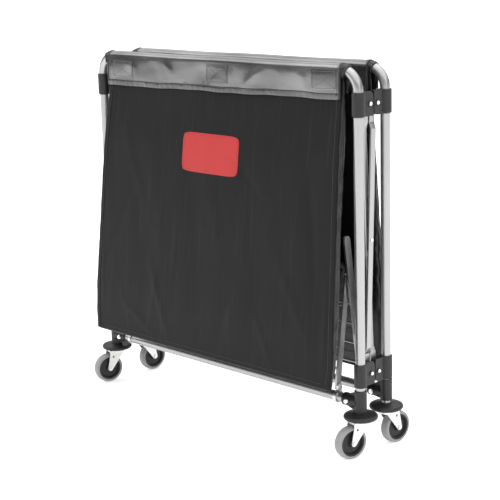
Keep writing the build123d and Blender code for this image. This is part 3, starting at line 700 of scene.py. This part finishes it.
        # soft folds of the flap: start and end along and down it in metres, then width and height in mm
        folds = (
            ((0.150, 0.0), (0.094, 0.056), 11, 2.6), ((0.190, 0.01), (0.150, 0.060), 22, -1.4),
            ((-0.172, 0.0), (-0.140, 0.040), 10, 1.8), ((-0.215, 0.0), (-0.190, 0.055), 16, -1.3),
            ((-0.06, 0.004), (-0.02, 0.050), 30, -1.5), ((0.045, 0.01), (0.05, 0.060), 15, 0.9),
            ((-0.300, 0.0), (-0.262, 0.052), 12, 1.2), ((0.262, 0.0), (0.285, 0.058), 12, 1.2),
            ((-0.095, 0.052), (-0.118, 0.066), 5, 1.0), ((-0.245, 0.050), (-0.235, 0.066), 5, 0.9))
        for start, end, width, height in folds:
            wave = wave + smooth(hang * 3) * fold_ridge(view, depth, start, end, width * MM, height * MM)
        pucker = 0.45 * MM * np.sin(x * 410 + 2 * np.sin(x * 57)) * np.exp(-((1 - hang) / 0.20) ** 2)
        crown = 0.5 * MM * np.sin(x * 19 + 1) * np.sin(turn)
        around = radius + crown
        y = np.where(q < 0, radius + wave + pucker * (hang > 0), around * np.cos(turn))
        y = np.where(q > 1, -radius - 1.2 * MM * inside * (1 + np.sin(x * 27)), y)
        z = np.where(q < 0, -hang * self.drop(x), around * np.sin(turn))
        z = np.where(q > 1, -inside * self.bag.cuff_inside, z)
        return np.stack([x + 0 * q, self.rail[1] + self.sign * y, self.rail[2] + z], -1)

    def cuff_q(self, up, x=0.0):
        """The q of a point a distance up the flap from its hem, measured along the cloth."""
        drop = self.drop(x)
        return np.where(up < drop, up / drop - 1, (up - drop) / WRAP)


def seam(surface, x, along, lift):
    """A run of stitches on a surface: its path, and the surface's outward normals along it."""
    x, along = np.broadcast_arrays(np.asarray(x, float), np.asarray(along, float))
    path = surface(x, along, lift)
    return path, unit(surface(x, along, lift + 1 * MM) - path)


def mesh_lines(low, high, step):
    """Even mesh lines from low to high, about a step apart."""
    return np.linspace(low, high, max(2, int(round((high - low) / step)) + 1))


# ---- operators: one for each piece or group of like pieces --------------------------------------------

FINISH_OF_SLOT = {
    "powder_coated_tube": "silver", "zinc_plate": "zinc", "rivet_steel": "steel", "black_nylon": "nylon",
    "wheel_core": "core", "grey_tyre": "tyre",
}


def slot_of(node):
    """The material slot that the node was packed with."""
    return node.data.materials[0].name.split(".")[0]


def dress(slots):
    """Gives every carried-over node of these material slots its finish."""
    dressed = 0
    for node in frame["nodes"].values():
        slot = node.get("trolley_slot") or slot_of(node)
        if slot in slots:
            node["trolley_slot"] = slot
            for holder in node.material_slots:
                holder.material = FINISHES[FINISH_OF_SLOT[slot]]
            dressed += 1
    if not dressed:
        raise RuntimeError(f"no node has a slot among {slots}")


class MixFinishes(bpy.types.Operator):
    """Make every finish of the trolley"""
    bl_idname = "trolley.mix_finishes"
    bl_label = "Mix Finishes"

    def execute(self, context):
        colours = context.scene.trolley_colours
        FINISHES.update(
            silver=silver_powder_coat(colours.silver), zinc=bright_zinc(colours.zinc),
            steel=polished_steel(), nylon=moulded_nylon("moulded_nylon", colours.nylon, 0.36),
            core=moulded_nylon("wheel_core", tinted(colours.nylon, 0.7), 0.40),
            tyre=tyre_rubber(colours.tyre), bag=bag_vinyl(colours.bag), gusset=gloss_vinyl_painted_shade(colours.bag),
            cuff=cuff_vinyl("cuff_vinyl", colours.cuff),
            hem=cuff_vinyl("hem_vinyl", tinted(colours.cuff, 0.42)), tape=binding_tape(),
            grey_thread=thread("grey_thread", (0.10, 0.10, 0.105)),
            black_thread=thread("black_thread", (0.045, 0.045, 0.047)),
            red_thread=thread("red_thread", (0.30, 0.018, 0.022)),
            label=woven_label(colours.label), floor=pale_floor())
        return {"FINISHED"}


class CoatFrames(bpy.types.Operator):
    """Powder coat the tubes, rails, crossed bars and platform"""
    bl_idname = "trolley.coat_frames"
    bl_label = "Coat Frames"

    def execute(self, context):
        dress(("powder_coated_tube",))
        return {"FINISHED"}


class FinishFittings(bpy.types.Operator):
    """Finish the moulded nylon sockets, sliders, brackets and bumper discs"""
    bl_idname = "trolley.finish_fittings"
    bl_label = "Finish Fittings"

    def execute(self, context):
        dress(("black_nylon",))
        return {"FINISHED"}


class PlateHardware(bpy.types.Operator):
    """Plate the forks, stems and bolts and polish the rivets"""
    bl_idname = "trolley.plate_hardware"
    bl_label = "Plate Hardware"

    def execute(self, context):
        dress(("zinc_plate", "rivet_steel"))
        return {"FINISHED"}


class FinishWheels(bpy.types.Operator):
    """Finish the wheels' cores and tyres"""
    bl_idname = "trolley.finish_wheels"
    bl_label = "Finish Wheels"

    def execute(self, context):
        dress(("wheel_core", "grey_tyre"))
        return {"FINISHED"}


class SewCuffs(bpy.types.Operator):
    """Wrap a cuff over each top rail, with hem, end bindings, box-stitched patches and thread"""
    bl_idname = "trolley.sew_cuffs"
    bl_label = "Sew Cuffs"

    def execute(self, context):
        for side in SIDES:
            self.sew(BagSide(side))
        return {"FINISHED"}

    def sew(self, half):
        bag, side, s = half.bag, half.side, half.sign
        x = mesh_lines(-bag.cuff_half, bag.cuff_half, 4 * MM)
        q = np.concatenate([
            np.linspace(-1, 0, 19)[:-1], np.linspace(0, 1, 15)[:-1], np.linspace(1, 2, 11)])
        grid_x, grid_q = np.meshgrid(-s * x, q)
        grid = half.cuff(grid_x, grid_q)
        run = np.where(grid_q < 0, grid_q * half.drop(grid_x), np.minimum(grid_q, 1) * WRAP)
        run = run + np.clip(grid_q - 1, 0, 1) * bag.cuff_inside
        body = cloth(f"{side}_cuff_cloth", grid, (grid_x, run), bag.cuff_thick, "cuff")
        extras = [self.hem(half), *self.bindings(half), *self.patches(half), self.threads(half)]
        for piece in (body, *extras):
            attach(piece, f"{side}_frame")
        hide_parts(f"{side}_cuff")

    def hem(self, half):
        """The turned hem: a doubled band on the flap's lower edge, over its outer face and under its edge."""
        bag, s = half.bag, half.sign
        x = mesh_lines(-bag.cuff_half + 1 * MM, bag.cuff_half - 1 * MM, 4 * MM)
        up = np.linspace(-1, bag.hem / MM, 12) * MM
        grid_x, grid_up = np.meshgrid(-s * x, up)
        crown = np.sin(math.pi * np.clip((grid_up + 1 * MM) / (bag.hem + 1 * MM), 0, 1))
        lift = 0.9 * MM + 0.9 * MM * crown ** 0.6
        base_q = grid_up / half.drop(grid_x) - 1
        grid = half.cuff(grid_x, np.maximum(base_q, -1), lift)
        grid[..., 2] += np.minimum(grid_up, 0)
        return cloth(f"{half.side}_cuff_hem", grid, (grid_x, grid_up), 1.3 * MM, "hem")

    def bindings(self, half):
        """Black tape folded over each end of the cuff, round its lower corner and over the rail."""
        bag, made = half.bag, []
        for end, hand in HANDS:
            x = hand * bag.cuff_half
            q = np.concatenate([np.linspace(-1, 0, 24), np.linspace(0, 1, 30)[1:], np.linspace(1, 2, 16)[1:]])
            path = half.cuff(np.full_like(q, x), q)
            off = unit(half.cuff(np.full_like(q, x), q, 1 * MM) - path)
            corner = np.linspace(0, math.pi / 2, 8)[:-1]
            bend = 7 * MM
            hook_x = x - hand * bend * (1 - np.sin(corner))
            hook = half.cuff(hook_x, np.full_like(corner, -1.0))
            hook[:, 2] += bend * (1 - np.cos(corner)) * 0.55
            keep = path[:, 2] > hook[-1, 2] + 0.5 * MM
            keep |= q > -0.5
            path = np.concatenate([hook, path[keep]])
            off = np.concatenate([np.repeat(off[:1], len(hook), 0), off[keep]])
            path, off = spaced(path, off, step=2.5 * MM)
            made.append(swept_tape(
                f"{half.side}_cuff_{end}_binding", path, unit(off), 5.4 * MM, 4.4 * MM, "tape"))
        return made

    def patch_places(self, half):
        """The middle of each patch along the rail, and its lower edge above the hem."""
        return [(-half.sign * x, 18.5 * MM) for x in (-0.3195, 0.0080, 0.3330)]

    def patches(self, half):
        """The box-stitched patches that hold the webbing inside the cuff."""
        bag, made = half.bag, []
        for number, (middle, low) in enumerate(self.patch_places(half), 1):
            x = mesh_lines(middle - bag.tab_wide / 2, middle + bag.tab_wide / 2, 3 * MM)
            up = mesh_lines(low, low + bag.tab_tall, 2.5 * MM)
            grid_x, grid_up = np.meshgrid(x, up)
            edge = np.minimum(
                np.minimum(grid_x - x[0], x[-1] - grid_x), np.minimum(grid_up - up[0], up[-1] - grid_up))
            swell = 0.35 * MM * smooth(edge / (9 * MM))
            grid = half.cuff(grid_x, half.cuff_q(grid_up, grid_x), 1.25 * MM + swell)
            made.append(cloth(
                f"{half.side}_cuff_patch_{number}", grid, (grid_x, grid_up), 0.8 * MM, "cuff",
                flip=half.sign > 0))
        return made

    def threads(self, half):
        """Two rows along the hem, a box and cross on each patch, and a row beside each binding."""
        bag, runs = half.bag, []

        def run(x, up, lift):
            x, up = np.broadcast_arrays(np.asarray(x, float), np.asarray(up, float))
            runs.append(seam(half.cuff, x, half.cuff_q(up, x), lift))

        ends = bag.cuff_half - 9 * MM
        rail = np.linspace(-ends, ends, 400)
        for up in (2.2 * MM, bag.hem - 1.6 * MM):
            run(rail, up, 2.2 * MM)
        for middle, low in self.patch_places(half):
            inset = 3.5 * MM
            left, right = middle - bag.tab_wide / 2 + inset, middle + bag.tab_wide / 2 - inset
            foot, top = low + inset, low + bag.tab_tall - inset
            t = np.linspace(0, 1, 40)
            for (x0, u0), (x1, u1) in (
                    ((left, foot), (right, foot)), ((right, foot), (right, top)), ((right, top), (left, top)),
                    ((left, top), (left, foot)), ((left, foot), (right, top)), ((right, foot), (left, top))):
                run(x0 + t * (x1 - x0), u0 + t * (u1 - u0), 2.15 * MM)
        for hand in (-1, 1):
            run(hand * (bag.cuff_half - 6 * MM), np.linspace(0.012, 0.095, 80), 1.2 * MM)
        return stitches(f"{half.side}_cuff_thread", runs, bag.stitch, "grey_thread", 1.0 * MM)


class HangPanels(bpy.types.Operator):
    """Hang the two wide panels of the bag, with side hems, piping and thread"""
    bl_idname = "trolley.hang_panels"
    bl_label = "Hang Panels"

    def execute(self, context):
        for side in SIDES:
            self.hang(BagSide(side))
        return {"FINISHED"}

    def hang(self, half):
        bag, side, s = half.bag, half.side, half.sign
        top, foot = 16 * MM, half.hem_at + 1.5 * MM
        mean_half, plain = 0.39, 0.982    # half the width in metres, and the share inside the rolled edges
        rim = np.linspace(plain, 1, 8)[1:]
        across = np.concatenate([-rim[::-1], mesh_lines(-plain, plain, bag.grid / mean_half), rim])
        v = mesh_lines(top, foot - 8 * MM, bag.grid)
        v = np.concatenate([v[:-1], np.linspace(v[-1], foot, 8)])
        grid_a, grid_v = np.meshgrid(-s * across, v[::-1])
        grid_x = grid_a * (half.half(grid_v) + 1.5 * MM)
        grid = half.panel(grid_x, grid_v)
        body = cloth(f"{side}_panel_cloth", grid, (grid_x, grid_v), bag.panel_thick, "bag")
        extras = [self.side_hem(half, end, hand) for end, hand in HANDS]
        extras += [self.piping(half, end, hand) for end, hand in HANDS]
        extras += [self.foot_piping(half), self.threads(half)]
        for piece in (body, *extras):
            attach(piece, f"bag_{side}")
        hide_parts(f"bag_{side}_panel")
        2 * float(half.half(0.4))

    def side_hem(self, half, end, hand):
        """The doubled strip down one side of the panel."""
        v = mesh_lines(22 * MM, half.hem_at - 4 * MM, half.bag.grid)
        inwards = np.linspace(2.5 * MM, 15 * MM, 7)
        grid_in, grid_v = np.meshgrid(inwards, v[::-1])
        grid_x = hand * (half.half(grid_v) - grid_in)
        crown = np.sin(math.pi * (grid_in - 2.5 * MM) / (12.5 * MM))
        lift = 0.75 * MM + 0.55 * MM * crown ** 0.5 + 0.15 * MM * np.sin(grid_v * 300 + hand)
        grid = half.panel(grid_x, grid_v, lift)
        return cloth(
            f"{half.side}_panel_{end}_hem", grid, (grid_x, grid_v), 0.9 * MM, "bag",
            flip=hand * half.sign < 0)

    def piping(self, half, end, hand):
        """Piping in the seam between the panel and its gusset."""
        v = np.linspace(24 * MM, half.hem_at - 5 * MM, 160)
        x = hand * (half.half(v) + 0.6 * MM)
        path = half.panel(x, v, -1.0 * MM + 0.5 * MM * np.sin(v * 90))
        off = np.repeat(half.out[None], len(v), 0)
        path, off = spaced(path, off, step=4 * MM)
        return swept_tape(f"{half.side}_panel_{end}_piping", path, off, 3.6 * MM, 3.6 * MM, "tape")

    def foot_piping(self, half):
        """The rolled seam along the panel's foot, where the bottom is sewn on."""
        reach = float(half.half(half.length)) - 6 * MM
        x = np.linspace(-reach, reach, 220)
        v = np.full_like(x, half.hem_at + 0.4 * MM)
        path = half.panel(x, v, -1.5 * MM + 0.5 * MM * np.sin(x * 57))
        path, off = spaced(path, np.repeat(half.out[None], len(x), 0), step=4 * MM)
        return swept_tape(f"{half.side}_panel_foot_piping", path, off, 4.6 * MM, 3.8 * MM, "tape")

    def threads(self, half):
        """A row down each side hem and one along the foot."""
        v = np.linspace(26 * MM, half.hem_at - 13 * MM, 300)
        runs = [seam(half.panel, hand * (half.half(v) - 12.5 * MM), v, 1.75 * MM) for hand in (-1, 1)]
        reach = 368 * MM
        runs.append(seam(half.panel, np.linspace(-reach, reach, 300), half.hem_at - 11 * MM, 1.0 * MM))
        return stitches(f"{half.side}_panel_thread", runs, half.bag.stitch, "black_thread", 0.8 * MM)


class FoldGussets(bpy.types.Operator):
    """Fold the four end gussets behind their panels and sew their middle edges"""
    bl_idname = "trolley.fold_gussets"
    bl_label = "Fold Gussets"

    def execute(self, context):
        for side in SIDES:
            for end, hand in HANDS:
                self.fold(BagSide(side), end, hand)
        return {"FINISHED"}

    def fold(self, half, end, hand):
        side, bag = half.side, half.bag
        body = f"bag_{side}_{end}_gusset"
        hinge = JOINTS[f"{body}_fold"]
        v = mesh_lines(62 * MM, half.length - 24 * MM, bag.grid)
        # inwards from the panel's edge, and behind the panel
        key = np.array([(1.5, 1.0), (-1.2, 2.6), (-3.2, 6.0), (-2.4, 10.5), (2.0, 13.5), (9.0, 13.0),
                        (22.0, 9.0), (45.0, 5.6), (80.0, 4.8), (130.0, 4.6), (200.0, 4.4), (268.0, 4.2)]) * MM
        far = arc_length(key)
        t = np.concatenate([np.linspace(0, far[6], 22)[:-1], mesh_lines(far[6], far[-1], bag.grid)])
        inwards = catmull(far, key[:, 0], t)
        behind = catmull(far, key[:, 1], t)
        grid_t, grid_v = np.meshgrid(t, v)
        grid_in, grid_back = np.broadcast_to(inwards, grid_t.shape), np.broadcast_to(behind, grid_t.shape)
        near = np.exp(-((grid_t - 12 * MM) / (16 * MM)) ** 2)
        seed = 1.7 * hand + 0.9 * half.sign
        crumple = (
            1.6 * np.sin(grid_v * 74 + 3 * np.sin(grid_v * 21 + seed) + grid_t * 160 + seed)
            + 0.9 * np.sin(grid_v * 171 + 2 * np.sin(grid_v * 33) - grid_t * 240)
            + 0.5 * np.sin(grid_v * 353 + grid_t * 420 + 2 * seed)) * MM * near
        swell = smooth((grid_v - 0.05) / 0.12) * smooth((half.length - 20 * MM - grid_v) / 0.16)
        wide = 0.45 + 0.9 * swell * (0.75 + 0.25 * np.sin(grid_v * 11 + seed))
        sag = 1.1 * MM * np.sin(grid_in * 43 + seed) * np.sin(grid_v * 17 + 2 * seed) * smooth(grid_in / 0.05)
        x = hand * (half.half(grid_v) - grid_in * np.where(grid_in < 0, wide, 1) - 0.4 * crumple)
        out = half.bulge(grid_v) * (1 - smooth(grid_in / 0.22))
        depth = 3.0 * MM - out + (grid_back - 1 * MM) * (near * wide + 1 - near) + 0.9 * crumple + abs(sag)
        grid = (half.rail + x[..., None] * X_AXIS + grid_v[..., None] * half.down
                - depth[..., None] * half.out)
        leaf = cloth(
            f"{side}_{end}_gusset_cloth", grid, (grid_t, grid_v), 1.1 * MM, "gusset",
            flip=hand * half.sign < 0)
        edge = half.rail + np.stack(
            [hand * (half.half(v) - LEAF_WIDE), 0 * v, 0 * v], -1) + v[:, None] * half.down
        edge = edge - 5.2 * MM * half.out
        path, off = spaced(edge, np.repeat(half.out[None], len(v), 0), step=4 * MM)
        tape = swept_tape(f"{side}_{end}_gusset_binding", path, off, 9 * MM, 3.0 * MM, "tape")
        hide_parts(body)
        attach(tape, body)
        centre = Vector(hinge["pos_m"])
        start, finish = centre.copy(), centre.copy()
        start.x += hand * 1.5 * MM
        finish.x -= hand * 14 * MM
        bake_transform(leaf)


def catmull(knots, values, at):
    """A smooth curve through the values at the knots."""
    slope = np.gradient(values, knots)
    i = np.clip(np.searchsorted(knots, at, "right") - 1, 0, len(knots) - 2)
    wide = knots[i + 1] - knots[i]
    t = (at - knots[i]) / wide
    return (values[i] * (2 * t ** 3 - 3 * t ** 2 + 1) + slope[i] * wide * (t ** 3 - 2 * t ** 2 + t)
            + values[i + 1] * (3 * t ** 2 - 2 * t ** 3) + slope[i + 1] * wide * (t ** 3 - t ** 2))


class FoldBottom(bpy.types.Operator):
    """Fold the two halves of the bag's bottom up to the middle"""
    bl_idname = "trolley.fold_bottom"
    bl_label = "Fold Bottom"

    def execute(self, context):
        for side in SIDES:
            self.fold(BagSide(side))
        return {"FINISHED"}

    def fold(self, half):
        side, s, bag = half.side, half.sign, half.bag
        body = f"bag_{side}_bottom"
        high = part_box(body)[1]
        reach, foot = high.x, half.foot
        crest = np.array([0.0, s * 1.6 * MM, high.z])
        run = float(np.linalg.norm((crest - foot)[1:]))
        up = (crest - foot) / run
        up[0] = 0
        out = np.cross(up, X_AXIS)
        out = out if out[1] * s > 0 else -out
        x = mesh_lines(-reach, reach, bag.grid)
        t = mesh_lines(4 * MM, run, bag.grid)
        grid_x, grid_t = np.meshgrid(-s * x, t)
        share = grid_t / run
        sag = (2.2 * MM * np.sin(math.pi * share) * (0.6 + 0.4 * np.sin(grid_x * 9))
               + 0.8 * MM * np.sin(grid_x * 37 + 4 * share) * np.sin(math.pi * share)
               + fold_ridge(grid_x, grid_t, (-0.2, 0.04), (-0.1, 0.2), 9 * MM, 1.4 * MM)
               + fold_ridge(grid_x, grid_t, (0.22, 0.03), (0.12, 0.19), 9 * MM, 1.4 * MM))
        grid = (foot + grid_x[..., None] * X_AXIS + grid_t[..., None] * up
                + sag[..., None] * out)
        grid += ((half.bulge(half.length) - 1 * MM) * (1 - smooth(grid_t / (60 * MM))))[..., None] * half.out
        sheet = cloth(f"{side}_bottom_cloth", grid, (grid_x, grid_t), 1.6 * MM, "gusset")
        runs = []
        for inset in (6 * MM, 14 * MM):
            line = foot + np.stack([x, 0 * x, 0 * x], -1) + (run - inset) * up + 1.2 * MM * out
            runs.append((line, np.repeat(out[None], len(x), 0)))
        seam = stitches(f"{side}_bottom_thread", runs, bag.stitch, "black_thread", 0.9 * MM)
        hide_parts(body)
        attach(seam, body)
        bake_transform(sheet)


class SewLabel(bpy.types.Operator):
    """Sew the plain woven label to the front panel"""
    bl_idname = "trolley.sew_label"
    bl_label = "Sew Label"

    def execute(self, context):
        half = BagSide("front")
        bag = half.bag
        middle = -3 * MM
        wide, tall = bag.label_wide, bag.label_tall
        a, b = np.meshgrid(np.linspace(-1, 1, 62), np.linspace(1, -1, 32))
        # rounded corners: the grid's corners are drawn in onto a superellipse
        power = 9.0
        size = (abs(a) ** power + abs(b) ** power) ** (1 / power)
        pull = np.maximum(abs(a), abs(b)) / np.maximum(size, 1e-9)
        a, b = a * (1 + (pull - 1) * smooth(size)), b * (1 + (pull - 1) * smooth(size))
        x, v = middle + a * wide / 2, bag.label_drop + b * tall / 2
        rim = 1 - np.maximum(abs(a), abs(b))
        swell = 0.5 * MM * smooth(rim / 0.08) - 0.3 * MM * np.exp(-((rim - 0.09) / 0.025) ** 2)
        patch = cloth("front_label_cloth", half.panel(x, v, 1.15 * MM + swell), (x, v), 1.0 * MM, "label")
        t = np.linspace(-1, 1, 120)
        inset_a, inset_b = 1 - 2 * 4 * MM / wide, 1 - 2 * 4 * MM / tall
        runs = []
        for xs, vs in (
                (t * inset_a, 0 * t - inset_b), (t * inset_a, 0 * t + inset_b),
                (0 * t - inset_a, t * inset_b), (0 * t + inset_a, t * inset_b)):
            runs.append(seam(
                half.panel, middle + xs * wide / 2, bag.label_drop + vs * tall / 2, 1.95 * MM))
        border = stitches("front_label_thread", runs, 3.0 * MM, "red_thread", 0.9 * MM)
        for piece in (patch, border):
            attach(piece, "bag_front")
        return {"FINISHED"}


class HangSlings(bpy.types.Operator):
    """Loop the bag's four black corner slings over the bends of the rails"""
    bl_idname = "trolley.hang_slings"
    bl_label = "Hang Corner Slings"

    def execute(self, context):
        for side in SIDES:
            for end, hand in HANDS:
                self.hang(BagSide(side), end, hand)
        return {"FINISHED"}

    def hang(self, half, end, hand):
        centre = np.array([hand * BEND_X, half.rail[1], half.rail[2] - BEND_R])
        big = half.side == "back"
        tucked = big and end == "right"           # the one whose tail fans out behind the inner flap
        turn_to = math.radians(22 if tucked else 40 if big else 24)
        phi = np.linspace(math.radians(4), turn_to, 10)
        middle_x = centre[0] + hand * BEND_R * math.sin((phi[0] + phi[-1]) / 2)
        tail_in, tail_out = (74 if tucked else 56 if big else 46) * MM, (46 if big else 12) * MM
        tube = RAIL_R + 1.5 * MM
        down = np.array([0, 0, -1.0])
        y_out = np.array([0, half.sign, 0.0])
        # the inner tail from its end upwards, over the rail, and down the outer tail
        steps = ([("tail_in", t) for t in np.linspace(1, 0.06, 15)]
                 + [("turn", a) for a in np.linspace(-95, 95, 25)]
                 + [("tail_out", t) for t in np.linspace(0.08, 1, 11)])
        rows = []
        for kind, value in steps:
            inside = kind == "tail_in"
            fan = tucked and inside
            sign, length = (-1, tail_in) if inside else (1, tail_out)
            row = []
            for angle, share in zip(phi, np.linspace(-1, 1, len(phi))):
                radial = np.array([hand * math.sin(angle), 0, math.cos(angle)])
                spine = centre + BEND_R * radial
                if kind == "turn":
                    a = math.radians(value)
                    ripple = 1 + 0.07 * math.sin(45 * angle + 2 * a)
                    point = spine + tube * ripple * (math.cos(a) * radial + math.sin(a) * y_out)
                else:
                    start = spine + tube * (sign * y_out - 0.06 * radial)
                    gather = 1 + 1.2 * value if fan else 1 - 0.45 * value
                    x = middle_x + (start[0] - middle_x) * gather - (hand * 19 * MM * value if fan else 0)
                    pleat = 2.2 * MM * math.sin(share * 5.5 + (1 if inside else 2)) * value
                    pleat += (-3.2 if fan else 1.4 if inside else 0.4) * MM * math.sin(math.pi * value * 0.5)
                    y = start[1] + half.sign * sign * (pleat + 0.4 * MM)
                    point = np.array([x, y, start[2]]) + down * length * value
                row.append(point)
            rows.append(row)
        grid = np.array(rows)
        run = arc_length(grid[:, 5])
        sling = cloth(
            f"{half.side}_{end}_sling_cloth", grid, (phi[None, :] * BEND_R, run[:, None]), 1.6 * MM, "gusset",
            flip=hand * half.sign < 0)
        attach(sling, f"{half.side}_frame")


class SetStage(bpy.types.Operator):
    """Lay the pale floor, hang the soft lights and set the camera"""
    bl_idname = "trolley.set_stage"
    bl_label = "Set Stage"

    def execute(self, context):
        scene, studio = context.scene, context.scene.trolley_studio
        self.floor()
        self.light("key_softbox", (-2.6, -2.2, 3.4), (0, 0, 0.45), 2.4, studio.key_power)
        self.light("fill_softbox", (3.4, -0.6, 1.8), (0, 0, 0.4), 1.8, studio.fill_power)
        self.light("top_softbox", (0.2, 0.4, 3.6), (0, 0, 0.5), 2.2, studio.fill_power * 1.2)
        self.sky(scene)
        scene.view_settings.view_transform = "Standard"
        camera = bpy.data.objects.new("camera", bpy.data.cameras.new("camera"))
        scene.collection.objects.link(camera)
        scene.camera = camera
        camera.data.lens = studio.lens
        camera.data.sensor_width = 36.0
        camera.data.clip_end = 60.0
        az, el, roll = studio.azimuth, studio.elevation, studio.roll
        back = Vector((math.sin(az) * math.cos(el), -math.cos(az) * math.cos(el), math.sin(el)))
        right = Vector((math.cos(az), math.sin(az), 0))
        up = back.cross(right)
        right, up = (
            right * math.cos(roll) + up * math.sin(roll), up * math.cos(roll) - right * math.sin(roll))
        turned = Matrix((right, up, back)).transposed().to_4x4()
        camera.matrix_world = Matrix.Translation(Vector(studio.target) + back * studio.distance) @ turned
        return {"FINISHED"}

    def floor(self):
        """A wide floor that curves up into a backdrop all round."""
        rings = [(1.2, 0.0), (4.0, 0.0), (12.0, 0.0), (15.0, 0.08), (18.0, 0.35), (20.0, 0.9)]
        sides = 64
        points, faces = [], []
        for radius, height in rings:
            for k in range(sides):
                turn = 2 * math.pi * k / sides
                points.append((radius * math.cos(turn), radius * math.sin(turn), height))
        faces.append(list(range(sides)))
        for ring in range(len(rings) - 1):
            for k in range(sides):
                a, b = ring * sides + k, ring * sides + (k + 1) % sides
                faces.append((a, a + sides, b + sides, b))
        new_piece("studio_floor", points, faces, "floor", crease=80)

    def light(self, name, at, aim, size, power):
        lamp = bpy.data.lights.new(name, "AREA")
        lamp.shape, lamp.size, lamp.energy = "SQUARE", size, power
        holder = bpy.data.objects.new(name, lamp)
        holder.location = at
        holder.rotation_euler = (Vector(aim) - Vector(at)).to_track_quat("-Z", "Y").to_euler()
        bpy.context.scene.collection.objects.link(holder)

    def sky(self, scene):
        """A studio surround: white overhead, dark near the horizon so that curved gloss has contrast."""
        world = bpy.data.worlds.new("studio_surround")
        scene.world = world
        world.use_nodes = True
        tree = world.node_tree
        tree.nodes.clear()
        new, link = tree.nodes.new, tree.links.new
        out = new("ShaderNodeOutputWorld")
        shade = new("ShaderNodeBackground")
        place = new("ShaderNodeTexCoord")
        split = new("ShaderNodeSeparateXYZ")
        ramp = new("ShaderNodeValToRGB")
        stops = ((0.0, 0.10), (0.34, 0.14), (0.52, 0.85), (0.80, 1.0))
        for _ in stops[2:]:
            ramp.color_ramp.elements.new(0.5)
        for element, (position, tone) in zip(ramp.color_ramp.elements, stops):
            element.position, element.color = position, (tone, tone, tone, 1)
        link(place.outputs["Generated"], split.inputs[0])
        link(split.outputs["Z"], ramp.inputs["Fac"])
        link(ramp.outputs["Color"], shade.inputs["Color"])
        shade.inputs["Strength"].default_value = 1.75
        # the view past the floor's edge stays white
        plain = new("ShaderNodeBackground")
        seen = new("ShaderNodeLightPath")
        either = new("ShaderNodeMixShader")
        plain.inputs["Color"].default_value = (1, 1, 1, 1)
        link(seen.outputs["Is Camera Ray"], either.inputs[0])
        link(shade.outputs[0], either.inputs[1])
        link(plain.outputs[0], either.inputs[2])
        link(either.outputs[0], out.inputs["Surface"])


OPERATORS = (
    MixFinishes, CoatFrames, FinishFittings, PlateHardware, FinishWheels, SewCuffs, HangPanels,
    FoldGussets, FoldBottom, SewLabel, HangSlings, SetStage,
)


class TrolleyPanel(bpy.types.Panel):
    """Lists the trolley's pieces and their sizes"""
    bl_idname = "VIEW3D_PT_trolley"
    bl_label = "Linen Trolley"
    bl_space_type = "VIEW_3D"
    bl_region_type = "UI"
    bl_category = "Trolley"

    def draw(self, context):
        scene = context.scene
        for group in (scene.trolley_bag, scene.trolley_colours, scene.trolley_studio):
            box = self.layout.box()
            for name in group.__annotations__:
                box.prop(group, name)
        for operator in OPERATORS:
            self.layout.operator(operator.bl_idname)


CLASSES = (BagSizes, Colours, Studio, *OPERATORS, TrolleyPanel)


def register():
    for kind in CLASSES:
        bpy.utils.register_class(kind)
    bpy.types.Scene.trolley_bag = PointerProperty(type=BagSizes)
    bpy.types.Scene.trolley_colours = PointerProperty(type=Colours)
    bpy.types.Scene.trolley_studio = PointerProperty(type=Studio)


def unregister():
    for name in ("trolley_studio", "trolley_colours", "trolley_bag"):
        delattr(bpy.types.Scene, name)
    for kind in reversed(CLASSES):
        bpy.utils.unregister_class(kind)


def main():
    register()
    for operator in OPERATORS:
        group, name = operator.bl_idname.split(".")
        getattr(getattr(bpy.ops, group), name)()


if __name__ == "__main__":
    main()
